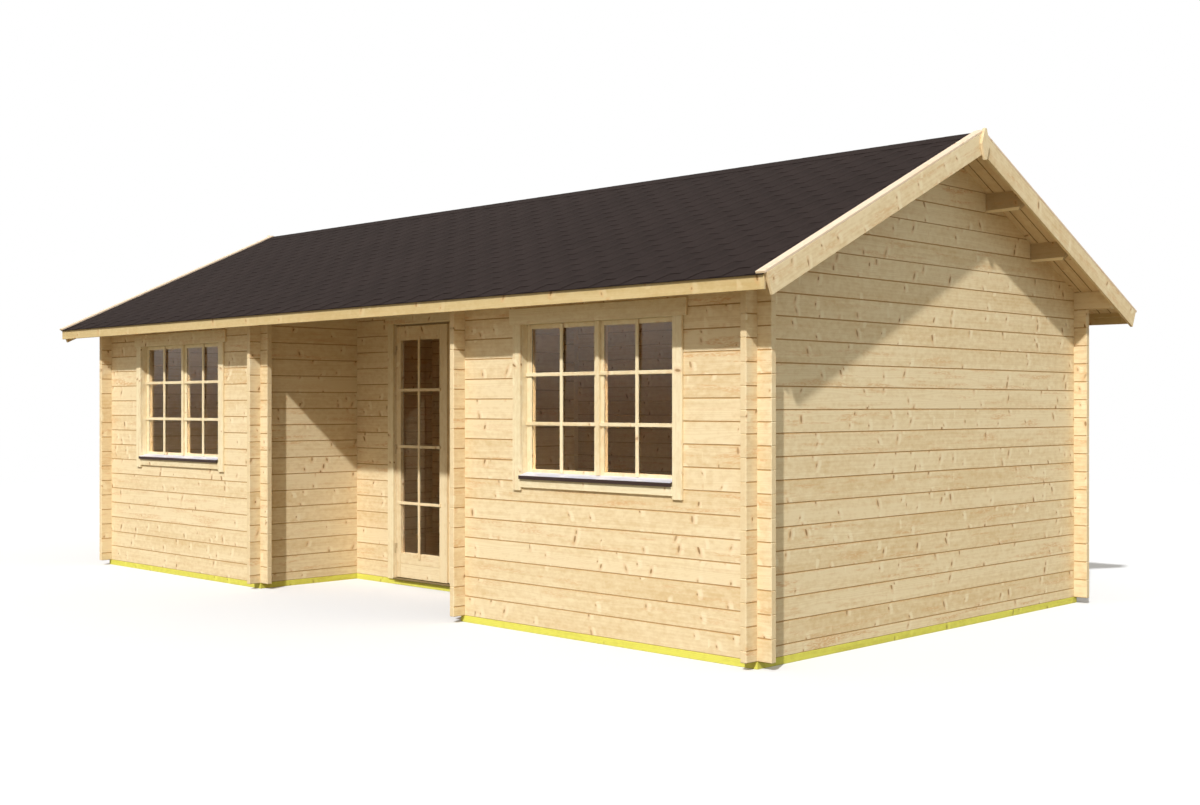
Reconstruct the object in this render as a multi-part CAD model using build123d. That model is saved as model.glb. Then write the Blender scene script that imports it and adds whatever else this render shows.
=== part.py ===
from build123d import *
import math
import os

# A log cabin with a recessed porch between two rooms. X runs along the ridge, the porch
# faces -Y and Z is up. The origin is on the ground, under the middle of the plan.
# Sizes are in millimetres.

# Logs
LOG_HEIGHT = 135.0
LOG_THICKNESS = 44.0
LONG_WALL_COURSES = 17
LOG_NOSE = 100.0  # how far a log runs past the face of the wall that it crosses
SEAM = 0.3  # hairline between neighbouring pieces
SHORTEST_NOSE_HEIGHT = 20.0  # a nose is sawn off where the roof leaves less than this

# Plan
HOUSE_LENGTH = 7690.0  # over the outer faces of the gable walls
HOUSE_DEPTH = 3875.0
ROOM_LENGTH = 2585.0  # from a gable's outer face to the porch
PORCH_DEPTH = 955.0

# Ground and floor
BEAM_HEIGHT = 45.0
BEAM_WIDTH = 70.0
BEAM_STOCK_LENGTH = 2850.0
JOIST_WIDTH = 45.0
JOIST_SPACING = 600.0
DECK_THICKNESS = 19.0

# Roof
ROOF_PITCH = 25.0
EAVE_OVERHANG = 320.0  # from the wall's face to the fascia's face
GABLE_OVERHANG = 316.0  # from the gable's face to the barge board's face
ROOF_BOARD_THICKNESS = 18.0
SHINGLE_THICKNESS = 5.0
SHINGLE_DRIP = 14.0  # how far the shingles run past the fascia
FASCIA_THICKNESS = 18.0
FASCIA_HEIGHT = 84.0
EAVE_LATH_WIDTH = 30.0
EAVE_LATH_DROP = 20.0  # how far the lath behind the fascia reaches below the roof boards
BARGE_THICKNESS = 20.0
BARGE_DROP = 106.0  # how far the barge board reaches below the roof boards' underside
BARGE_CAP_THICKNESS = 15.0
BARGE_CAP_WIDTH = 65.0
BARGE_CAP_TIP = 14.0
PURLIN_SPACING = 630.0
PURLIN_END_CHAMFER = 60.0
PURLIN_EDGE_CHAMFER = 16.0  # along the lower edges, outside the gables
PEAK_PLATE_WIDTH = 100.0
PEAK_PLATE_HEIGHT = 206.0
PEAK_PLATE_TIP = 24.0
PEAK_PLATE_RISE = 6.0  # how far the plate stands above the barge caps
PEAK_PLATE_THICKNESS = 18.0

# Windows
CASING_THICKNESS = 18.0
CASING_WIDTH = 76.0
WINDOW_CLEAR_WIDTH = 1333.0
WINDOW_FIRST_COURSE = 7
WINDOW_COURSES = 8
WINDOW_FRAME_SIDE = 45.0
WINDOW_FRAME_HEAD = 51.0
WINDOW_FRAME_FOOT = 35.0
WINDOW_FRAME_DEPTH = 90.0
SASH_SETBACK = 44.0  # from the wall's face to the sash's face
SASH_THICKNESS = 40.0
SASH_STILE = 43.0
SASH_TOP_RAIL = 30.0
SASH_PANE_SETBACK = 6.0  # from the sash's face to the glass
SASH_STRIP_WIDTH = 30.0  # over the line where the sashes meet
SASH_STRIP_THICKNESS = 20.0
SASH_PLAY = 0.8
PANE_THICKNESS = 6.0
HEAD_CASING_HEIGHT = 106.0
HEAD_CASING_OVERHANG = 35.0
FOOT_CASING_DROP = 41.0  # from the window opening's foot to the lowest strip's lower edge
SIDE_CASING_DROP = 62.0
SILL_PROJECTION = 17.0  # past the casings
SILL_SLOPE_RISE = 20.0
SILL_LIP = 20.0
SILL_SHEET = 3.0

# Door
DOOR_CLEAR_HALF_WIDTH = 722.0  # between the jambs, from the middle
DOOR_COURSES = 16
DOOR_JAMB = 45.0
DOOR_FRAME_DEPTH = 90.0
DOOR_STOP = 15.0
DOOR_STOP_GAP = 5.0
DOOR_REVEAL = 7.0  # from the jamb's inner face to the casing's edge
LEAF_SETBACK = 2.0  # from the wall's face to the leaf's face
LEAF_THICKNESS = 40.0
DOOR_FRAME_HEAD = 47.0
LEAF_FOOT = 17.0
LEAF_HEAD_GAP = 15.0
LEAF_SIDE_GAP = 7.0
LEAF_MEETING_GAP = 9.0
LEAF_STILE = 61.0
LEAF_MEETING_STILE = 145.0
LEAF_BOTTOM_RAIL = 208.0
LEAF_TOP_RAIL = 117.0
LEAF_PANE_SETBACK = 28.0  # from the leaf's face to the glass
MEETING_EDGE_WIDTH = 22.0  # from the leaf's edge to its groove
MEETING_GROOVE_WIDTH = 27.0
MEETING_GROOVE_DEPTH = 22.0
THRESHOLD_THICKNESS = 12.0
THRESHOLD_PROJECTION = 30.0
HINGE_RADIUS = 6.0
HINGE_HEIGHT = 40.0
HINGE_PLATE_THICKNESS = 2.0
HINGE_PLATE_WIDTH = 18.0
HINGE_CLEARANCE = 1.0  # from the knuckles to the leaf's face
HINGE_FOOT_DISTANCE = 200.0  # from the leaf's foot to the lowest hinge
HINGE_HEAD_DISTANCE = 238.0  # from the leaf's top to the foot of the highest hinge

# Planes that several pieces share
GABLE_FACE = HOUSE_LENGTH / 2
FRONT_FACE = -HOUSE_DEPTH / 2
REAR_FACE = HOUSE_DEPTH / 2
PORCH_SIDE = GABLE_FACE - ROOM_LENGTH
PORCH_FACE = FRONT_FACE + PORCH_DEPTH
WALL_BASE = BEAM_HEIGHT
WALL_TOP = WALL_BASE + LONG_WALL_COURSES * LOG_HEIGHT
INNER_EAVE = HOUSE_DEPTH / 2 - LOG_THICKNESS
SLOPE = math.tan(math.radians(ROOF_PITCH))
SLOPE_COS = math.cos(math.radians(ROOF_PITCH))
SLOPE_SIN = math.sin(math.radians(ROOF_PITCH))
APEX = WALL_TOP + INNER_EAVE * SLOPE
NOTCH_DEPTH = LOG_HEIGHT / 4
NOTCH_HALF_WIDTH = LOG_THICKNESS / 2 + SEAM
BARGE_INNER = GABLE_FACE + GABLE_OVERHANG - BARGE_THICKNESS
BARGE_OUTER = GABLE_FACE + GABLE_OVERHANG
EAVE_LINE = HOUSE_DEPTH / 2 + EAVE_OVERHANG


# Shapes


def box(x, y, z):
    """A block between (low, high) pairs along X, Y and Z."""
    spans = (x, y, z)
    middle = [(low + high) / 2 for low, high in spans]
    size = [high - low for low, high in spans]
    return Pos(*middle) * Box(*size)


def prism(points, direction):
    """A closed outline of 3-D points, pushed along a direction."""
    outline = Wire.make_polygon([Vector(*point) for point in points], close=True)
    return extrude(Face(outline), amount=Vector(*direction).length, dir=direction)


def prism_along_x(outline, low, high):
    """An outline of (y, z) points between two X planes."""
    return prism([(low, y, z) for y, z in outline], (high - low, 0, 0))


def prism_along_y(outline, low, high):
    """An outline of (x, z) points between two Y planes."""
    return prism([(x, low, z) for x, z in outline], (0, high - low, 0))


def prism_along_z(outline, low, high):
    """An outline of (x, y) points between two Z planes."""
    return prism([(x, y, low) for x, y in outline], (0, 0, high - low))


def mirrored(solids, plane=Plane.YZ):
    """The same solids on the other side of the cabin."""
    return [mirror(solid, about=plane) for solid in solids]


def save(name, solids):
    """Write one node of the assembly."""
    node = Compound(children=[Solid(solid.solid().wrapped) for solid in solids])
    export_step(node, f"parts/{name}.step")


# Roof planes


def underside(y):
    """Height of the roof boards' underside above the ground."""
    return APEX - abs(y) * SLOPE


def reach(z):
    """Distance from the ridge at which the roof boards' underside comes down to a height."""
    return (APEX - z) / SLOPE


def roof_point(y, lift):
    """A point a given distance above the front slope's underside, square to it."""
    return (-y - lift * SLOPE_SIN, underside(y) + lift * SLOPE_COS)


def under_roof(margin=SEAM):
    """All the space below the roof boards."""
    edge = EAVE_LINE
    eave = underside(edge) - margin
    outline = [(-edge, 0), (edge, 0), (edge, eave), (0, APEX - margin), (-edge, eave)]
    return prism_along_x(outline, -BARGE_OUTER, BARGE_OUTER)


# Logs


def log_outline(start, end, base, top, cut_below, cut_above):
    """Side of a log as (along, z) points, notched where other logs cross it."""
    lower_cut = base + NOTCH_DEPTH
    upper_cut = base + LOG_HEIGHT - NOTCH_DEPTH - SEAM
    lower = [(start, base)]
    upper = [(start, top)]
    for centre in sorted(cut_below):
        left = centre - NOTCH_HALF_WIDTH
        right = centre + NOTCH_HALF_WIDTH
        lower += [(left, base), (left, lower_cut), (right, lower_cut), (right, base)]
    for centre in sorted(cut_above):
        left = centre - NOTCH_HALF_WIDTH
        right = centre + NOTCH_HALF_WIDTH
        upper += [(left, top), (left, upper_cut), (right, upper_cut), (right, top)]
    lower.append((end, base))
    upper.append((end, top))
    return lower + upper[::-1]


def course_base(course):
    """Underside of a log of the long walls, which start with a whole log."""
    return WALL_BASE + course * LOG_HEIGHT


def gable_base(course):
    """Underside of a log of the gables and porch sides, which start with half a log."""
    return max(WALL_BASE, WALL_BASE + (course - 0.5) * LOG_HEIGHT)


def log_top(base_of_next):
    """A log's top leaves a hairline below the next log."""
    return base_of_next - SEAM


def long_log(course, x_span, face, crossings, gap=None):
    """A log along X, whole or in two pieces beside an opening."""
    base = course_base(course)
    top = log_top(course_base(course + 1))
    spans = [x_span] if gap is None else [(x_span[0], gap[0]), (gap[1], x_span[1])]
    pieces = []
    for start, end in spans:
        crossed = [x for x in crossings if start < x < end]
        outline = log_outline(start, end, base, top, crossed, crossed)
        pieces.append(prism_along_y(outline, face, face + LOG_THICKNESS))
    return pieces


FRONT_LOG_LINE = FRONT_FACE + LOG_THICKNESS / 2
REAR_LOG_LINE = REAR_FACE - LOG_THICKNESS / 2
PORCH_LOG_LINE = PORCH_FACE + LOG_THICKNESS / 2
GABLE_LOG_LINE = GABLE_FACE - LOG_THICKNESS / 2
SIDE_LOG_LINE = PORCH_SIDE + LOG_THICKNESS / 2

# Purlins: logs that carry the roof boards between the gables

RIDGE_PURLIN_BASE = gable_base(round((APEX - LOG_HEIGHT - WALL_BASE) / LOG_HEIGHT + 0.5))
UPPER_PURLIN_BASE = RIDGE_PURLIN_BASE - 2 * LOG_HEIGHT
UPPER_PURLIN_NEAR = reach(UPPER_PURLIN_BASE + LOG_HEIGHT)
LOWER_PURLIN_NEAR = UPPER_PURLIN_NEAR + PURLIN_SPACING
LOWER_PURLIN_BASE = underside(LOWER_PURLIN_NEAR) - LOG_HEIGHT
PURLIN_END = BARGE_INNER - SEAM


def purlin(section, base):
    """A purlin with its lower end corners cut off and its lower edges taken off outside the gables."""
    bar = prism_along_x(section, -PURLIN_END, PURLIN_END)
    for y, inward in ((section[0][0], 1), (section[1][0], -1)):
        edge = [
            (y - inward, base - 1),
            (y + inward * (PURLIN_EDGE_CHAMFER + 1), base - 1),
            (y - inward, base + PURLIN_EDGE_CHAMFER + 1),
        ]
        bar -= prism_along_x(edge, GABLE_FACE, PURLIN_END + 1)
        bar -= prism_along_x(edge, -PURLIN_END - 1, -GABLE_FACE)
    low = base - SEAM
    high = base + PURLIN_END_CHAMFER
    back = PURLIN_END - PURLIN_END_CHAMFER
    corner = [(PURLIN_END + SEAM, low), (PURLIN_END + SEAM, high + SEAM), (back - SEAM, low)]
    for sign in (-1, 1):
        wedge = [(sign * x, z) for x, z in corner]
        bar -= prism_along_y(wedge, -HOUSE_DEPTH, HOUSE_DEPTH)
    return bar


def slope_purlin(near, base):
    """A purlin on the rear slope, its top planed to the roof."""
    far = near + LOG_THICKNESS
    section = [(near, base), (far, base), (far, underside(far) - SEAM), (near, underside(near) - SEAM)]
    return purlin(section, base)


def purlin_slots():
    """The room that the purlins take out of the walls which they cross."""
    half = LOG_THICKNESS / 2 + SEAM
    slots = [box((-BARGE_OUTER, BARGE_OUTER), (-half, half), (RIDGE_PURLIN_BASE - SEAM, APEX))]
    for near, base in ((UPPER_PURLIN_NEAR, UPPER_PURLIN_BASE), (LOWER_PURLIN_NEAR, LOWER_PURLIN_BASE)):
        for sign in (-1, 1):
            span = sorted((sign * (near - SEAM), sign * (near + LOG_THICKNESS + SEAM)))
            slots.append(box((-BARGE_OUTER, BARGE_OUTER), span, (base - SEAM, APEX)))
    return slots


SLOTS = purlin_slots()
ROOF_SPACE = under_roof()


def fitted_under_roof(log):
    """A log's pieces once the roof's slope and the purlins' slots are cut."""
    log = log & ROOF_SPACE
    for slot in SLOTS:
        log -= slot
    return list(log.solids())


def save_purlins():
    """The ridge purlin and the two pairs below it."""
    half = LOG_THICKNESS / 2
    section = [
        (-half, RIDGE_PURLIN_BASE),
        (half, RIDGE_PURLIN_BASE),
        (half, underside(half) - SEAM),
        (0, APEX - SEAM),
        (-half, underside(half) - SEAM),
    ]
    save("ridge_purlin", [purlin(section, RIDGE_PURLIN_BASE)])
    upper = [slope_purlin(UPPER_PURLIN_NEAR, UPPER_PURLIN_BASE)]
    lower = [slope_purlin(LOWER_PURLIN_NEAR, LOWER_PURLIN_BASE)]
    save("upper_purlins", upper + mirrored(upper, Plane.XZ))
    save("lower_purlins", lower + mirrored(lower, Plane.XZ))


# Ground and floor


def beam(x, y):
    """A foundation beam."""
    return box(x, y, (0, BEAM_HEIGHT - SEAM))


def save_foundation():
    """Beams under every wall, with their outer faces flush with the logs."""
    inner_front = FRONT_FACE + BEAM_WIDTH
    inner_rear = REAR_FACE - BEAM_WIDTH
    joint = FRONT_FACE + BEAM_WIDTH + BEAM_STOCK_LENGTH
    side = [
        beam((PORCH_SIDE, GABLE_FACE), (FRONT_FACE, inner_front)),
        beam((GABLE_FACE - BEAM_WIDTH, GABLE_FACE), (inner_front + SEAM, joint)),
        beam((GABLE_FACE - BEAM_WIDTH, GABLE_FACE), (joint + SEAM, inner_rear - SEAM)),
        beam((PORCH_SIDE, PORCH_SIDE + BEAM_WIDTH), (inner_front + SEAM, PORCH_FACE + BEAM_WIDTH)),
    ]
    across = [
        beam((-GABLE_FACE, GABLE_FACE), (inner_rear, REAR_FACE)),
        beam((-PORCH_SIDE + SEAM, PORCH_SIDE - SEAM), (PORCH_FACE, PORCH_FACE + BEAM_WIDTH)),
    ]
    save("foundation_beams", side + mirrored(side) + across)


def joist_lines(low, high):
    """Evenly spaced joists between two beams, at most the stated spacing apart."""
    bays = math.ceil((high - low) / JOIST_SPACING)
    return [low + (high - low) * step / bays for step in range(1, bays)]


def save_floor():
    """Joists between the beams, and the deck that they carry inside the walls."""
    half = JOIST_WIDTH / 2
    rear = REAR_FACE - BEAM_WIDTH - SEAM
    room_front = FRONT_FACE + BEAM_WIDTH + SEAM
    middle_front = PORCH_FACE + BEAM_WIDTH + SEAM
    room = [
        beam((x - half, x + half), (room_front, rear))
        for x in joist_lines(PORCH_SIDE + BEAM_WIDTH, GABLE_FACE - BEAM_WIDTH)
    ]
    middle = [
        beam((x - half, x + half), (middle_front, rear))
        for x in joist_lines(-PORCH_SIDE, PORCH_SIDE)
    ]
    save("floor_joists", room + mirrored(room) + middle)

    inner_side = PORCH_SIDE + LOG_THICKNESS + SEAM
    inner_gable = GABLE_FACE - LOG_THICKNESS - SEAM
    inner_front = FRONT_FACE + LOG_THICKNESS + SEAM
    inner_rear = REAR_FACE - LOG_THICKNESS - SEAM
    side_end = PORCH_FACE + LOG_THICKNESS + LOG_NOSE + SEAM
    nose_end = PORCH_SIDE + LOG_THICKNESS + LOG_NOSE + SEAM
    back_wall = (PORCH_FACE - SEAM, PORCH_FACE + LOG_THICKNESS + SEAM)
    level = (WALL_BASE, WALL_BASE + DECK_THICKNESS)
    outline = [
        (inner_side, inner_front),
        (inner_gable, inner_front),
        (inner_gable, inner_rear),
        (PORCH_SIDE, inner_rear),
        (PORCH_SIDE, side_end),
        (inner_side, side_end),
        (inner_side, back_wall[1]),
        (nose_end, back_wall[1]),
        (nose_end, back_wall[0]),
        (inner_side, back_wall[0]),
    ]
    room_deck = [prism_along_z(outline, *level)]
    front = PORCH_FACE + DOOR_FRAME_DEPTH + SEAM
    middle_deck = box((-PORCH_SIDE + SEAM, PORCH_SIDE - SEAM), (front, inner_rear), level)
    save("floor_deck", room_deck + mirrored(room_deck) + [middle_deck])


# Walls


WINDOW_LINE = (PORCH_SIDE + GABLE_FACE) / 2
WINDOW_HALF_OPENING = WINDOW_CLEAR_WIDTH / 2 + WINDOW_FRAME_SIDE + SEAM
WINDOW_FOOT = course_base(WINDOW_FIRST_COURSE)
WINDOW_TOP = course_base(WINDOW_FIRST_COURSE + WINDOW_COURSES)
DOOR_HALF_OPENING = DOOR_CLEAR_HALF_WIDTH + DOOR_JAMB + SEAM
DOOR_TOP = course_base(DOOR_COURSES)
DOOR_HEAD = DOOR_TOP - DOOR_FRAME_HEAD


def save_front_walls():
    """The two room fronts, below the eave log."""
    span = (PORCH_SIDE - LOG_NOSE, GABLE_FACE + LOG_NOSE)
    crossings = (SIDE_LOG_LINE, GABLE_LOG_LINE)
    opening = (WINDOW_LINE - WINDOW_HALF_OPENING, WINDOW_LINE + WINDOW_HALF_OPENING)
    window_courses = range(WINDOW_FIRST_COURSE, WINDOW_FIRST_COURSE + WINDOW_COURSES)
    logs = []
    for course in range(LONG_WALL_COURSES - 1):
        gap = opening if course in window_courses else None
        logs += long_log(course, span, FRONT_FACE, crossings, gap)
    save("front_wall_right", logs)
    save("front_wall_left", mirrored(logs))


def save_rear_wall():
    """The plain rear wall, below the eave log."""
    span = (-GABLE_FACE - LOG_NOSE, GABLE_FACE + LOG_NOSE)
    crossings = (-GABLE_LOG_LINE, GABLE_LOG_LINE)
    logs = []
    for course in range(LONG_WALL_COURSES - 1):
        logs += long_log(course, span, REAR_FACE - LOG_THICKNESS, crossings)
    save("rear_wall", logs)


def eave_log(face, crossings):
    """The top log of a long wall, which runs out to the barge boards."""
    base = course_base(LONG_WALL_COURSES - 1)
    outline = log_outline(-PURLIN_END, PURLIN_END, base, WALL_TOP, crossings, crossings)
    return prism_along_y(outline, face, face + LOG_THICKNESS) & ROOF_SPACE


def save_eave_logs():
    """The front and rear eave logs."""
    gables = [-GABLE_LOG_LINE, GABLE_LOG_LINE]
    sides = [-SIDE_LOG_LINE, SIDE_LOG_LINE]
    save("front_eave_log", [eave_log(FRONT_FACE, gables + sides)])
    save("rear_eave_log", [eave_log(REAR_FACE - LOG_THICKNESS, gables)])


def gable_log(course, last):
    """A gable log's pieces, from corner to corner or between the roof's slopes."""
    base = gable_base(course)
    top = APEX if last else log_top(gable_base(course + 1))
    crossings = (FRONT_LOG_LINE, REAR_LOG_LINE) if course <= LONG_WALL_COURSES else ()
    if crossings:
        half = min(HOUSE_DEPTH / 2 + LOG_NOSE, reach(base + SHORTEST_NOSE_HEIGHT))
    else:
        half = reach(base)
    cut_below = crossings if course > 0 else ()
    cut_above = crossings if course < LONG_WALL_COURSES else ()
    if course == 0:
        outline = half_log_outline(-half, half, crossings)
    else:
        outline = log_outline(-half, half, base, top, cut_below, cut_above)
    face = GABLE_FACE - LOG_THICKNESS
    return fitted_under_roof(prism_along_x(outline, face, GABLE_FACE))


def half_log_outline(start, end, crossings):
    """The half log that starts a gable, flat below and notched above."""
    whole = log_outline(start, end, WALL_BASE - LOG_HEIGHT / 2, log_top(gable_base(1)), (), crossings)
    return [(along, max(z, WALL_BASE)) for along, z in whole]


def save_gables():
    """Both gable walls, up to the ridge."""
    last = round((APEX - WALL_BASE) / LOG_HEIGHT)
    while gable_base(last) > APEX - LOG_HEIGHT / 2:
        last -= 1
    logs = []
    for course in range(last + 1):
        logs += gable_log(course, course == last)
    save("right_gable_wall", logs)
    save("left_gable_wall", mirrored(logs))


def last_course(bases, ceiling):
    """The highest log that has at least half its height below a ceiling."""
    course = 0
    while bases(course + 1) + LOG_HEIGHT / 2 < ceiling:
        course += 1
    return course


def save_porch_sides():
    """The porch's side walls, up to the roof and a nose past the back wall."""
    rear_end = PORCH_FACE + LOG_THICKNESS + LOG_NOSE
    last = last_course(gable_base, underside(rear_end))
    back_last = last_course(course_base, underside(PORCH_FACE))
    logs = []
    for course in range(last + 1):
        base = gable_base(course)
        top = APEX if course == last else log_top(gable_base(course + 1))
        cut_below = [PORCH_LOG_LINE] if course <= back_last + 1 else []
        cut_above = [PORCH_LOG_LINE] if course <= back_last else []
        front_end = -reach(base)
        if course <= LONG_WALL_COURSES:
            front_end = max(FRONT_FACE - LOG_NOSE, -reach(base + SHORTEST_NOSE_HEIGHT))
            cut_below.append(FRONT_LOG_LINE)
        if course < LONG_WALL_COURSES:
            cut_above.append(FRONT_LOG_LINE)
        if course == 0:
            outline = half_log_outline(front_end, rear_end, cut_above)
        else:
            outline = log_outline(front_end, rear_end, base, top, cut_below, cut_above)
        logs += fitted_under_roof(prism_along_x(outline, PORCH_SIDE, PORCH_SIDE + LOG_THICKNESS))
    save("porch_right_wall", logs)
    save("porch_left_wall", mirrored(logs))


def save_porch_back():
    """The wall beside and over the door, up to the roof."""
    end = PORCH_SIDE + LOG_THICKNESS + LOG_NOSE
    crossings = (-SIDE_LOG_LINE, SIDE_LOG_LINE)
    last = last_course(course_base, underside(PORCH_FACE))
    beside = []
    for course in range(DOOR_COURSES):
        beside += long_log(course, (DOOR_HALF_OPENING, end), PORCH_FACE, crossings)
    over = []
    for course in range(DOOR_COURSES, last + 1):
        base = course_base(course)
        top = APEX if course == last else log_top(course_base(course + 1))
        outline = log_outline(-end, end, base, top, crossings, crossings)
        over += fitted_under_roof(prism_along_y(outline, PORCH_FACE, PORCH_FACE + LOG_THICKNESS))
    save("porch_back_wall_right", beside)
    save("porch_back_wall_left", mirrored(beside))
    save("porch_back_wall_top", over)


# Roof


def layer_outline(low, high, eave):
    """A layer of the front slope as (y, z) points, cut plumb at the ridge and at the eave."""
    low_rise = low / SLOPE_COS
    high_rise = high / SLOPE_COS
    ridge = SEAM / 2
    return [
        (-ridge, underside(ridge) + low_rise),
        (-ridge, underside(ridge) + high_rise),
        (-eave, underside(eave) + high_rise),
        (-eave, underside(eave) + low_rise),
    ]


def save_roof_covering():
    """Roof boards and shingles on both slopes."""
    end = BARGE_INNER - SEAM
    board_end = EAVE_LINE - FASCIA_THICKNESS - SEAM
    boards = [prism_along_x(layer_outline(0, ROOF_BOARD_THICKNESS, board_end), -end, end)]
    low = ROOF_BOARD_THICKNESS + SEAM
    high = ROOF_BOARD_THICKNESS + SHINGLE_THICKNESS
    shingles = [prism_along_x(layer_outline(low, high, EAVE_LINE + SHINGLE_DRIP), -end, end)]
    save("roof_boards_front", boards)
    save("roof_boards_rear", mirrored(boards, Plane.XZ))
    save("shingles_front", shingles)
    save("shingles_rear", mirrored(shingles, Plane.XZ))


def save_fascias():
    """Boards on the eaves' ends, their tops planed to the roof, and the laths behind them."""
    inner = EAVE_LINE - FASCIA_THICKNESS
    rise = ROOF_BOARD_THICKNESS / SLOPE_COS
    foot = underside(EAVE_LINE) + rise - FASCIA_HEIGHT
    outline = [
        (-inner, foot),
        (-EAVE_LINE, foot),
        (-EAVE_LINE, underside(EAVE_LINE) + rise),
        (-inner, underside(inner) + rise),
    ]
    end = BARGE_INNER - SEAM
    front = [prism_along_x(outline, -end, end)]
    save("fascia_front", front)
    save("fascia_rear", mirrored(front, Plane.XZ))

    outer = inner - SEAM
    inner = outer - EAVE_LATH_WIDTH
    foot = underside(outer) - EAVE_LATH_DROP
    outline = [
        (-inner, foot),
        (-outer, foot),
        (-outer, underside(outer) - SEAM),
        (-inner, underside(inner) - SEAM),
    ]
    front = [prism_along_x(outline, -end, end)]
    save("eave_laths", front + mirrored(front, Plane.XZ))


def sloping_strip(low, high, tip):
    """A strip of the front slope, mitred at the ridge and cut square at the eave."""
    ridge = SEAM / 2
    foot = EAVE_LINE + tip * SLOPE_COS - (ROOF_BOARD_THICKNESS + SHINGLE_THICKNESS) * SLOPE_SIN
    return [
        (-ridge, underside(ridge) + low / SLOPE_COS),
        (-ridge, underside(ridge) + high / SLOPE_COS),
        roof_point(foot, high),
        roof_point(foot, low),
    ]


CAP_SEAT = ROOF_BOARD_THICKNESS + SHINGLE_THICKNESS
CAP_TOP = CAP_SEAT + SEAM + BARGE_CAP_THICKNESS


def save_barges():
    """Barge boards, the caps on them and the plates over their mitres."""
    board = prism_along_x(sloping_strip(-BARGE_DROP, CAP_SEAT, 0), BARGE_INNER, BARGE_OUTER)
    boards = [board] + mirrored([board], Plane.XZ)
    save("right_barge_boards", boards)
    save("left_barge_boards", mirrored(boards))
    cap = prism_along_x(
        sloping_strip(CAP_SEAT + SEAM, CAP_TOP, BARGE_CAP_TIP),
        BARGE_OUTER - BARGE_CAP_WIDTH,
        BARGE_OUTER,
    )
    caps = [cap] + mirrored([cap], Plane.XZ)
    save("barge_caps", caps + mirrored(caps))

    top = APEX + CAP_TOP / SLOPE_COS + PEAK_PLATE_RISE
    foot = top - PEAK_PLATE_HEIGHT
    middle = (top + foot) / 2
    half = PEAK_PLATE_WIDTH / 2
    tip = PEAK_PLATE_TIP / 2
    outline = [(-tip, foot), (tip, foot), (half, middle), (tip, top), (-tip, top), (-half, middle)]
    plate_face = BARGE_OUTER + SEAM
    plate = [prism_along_x(outline, plate_face, plate_face + PEAK_PLATE_THICKNESS)]
    save("peak_plates", plate + mirrored(plate))


# Windows


def ring(x, y, z, hole_x, hole_z):
    """A rectangular frame that stands in a wall along X."""
    return box(x, y, z) - box(hole_x, (y[0] - 1, y[1] + 1), hole_z)


def pane_in(hole_x, hole_z, middle_y):
    """A sheet of glass that fills a hole."""
    half = PANE_THICKNESS / 2
    x = (hole_x[0] + SEAM, hole_x[1] - SEAM)
    z = (hole_z[0] + SEAM, hole_z[1] - SEAM)
    return box(x, (middle_y - half, middle_y + half), z)


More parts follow.
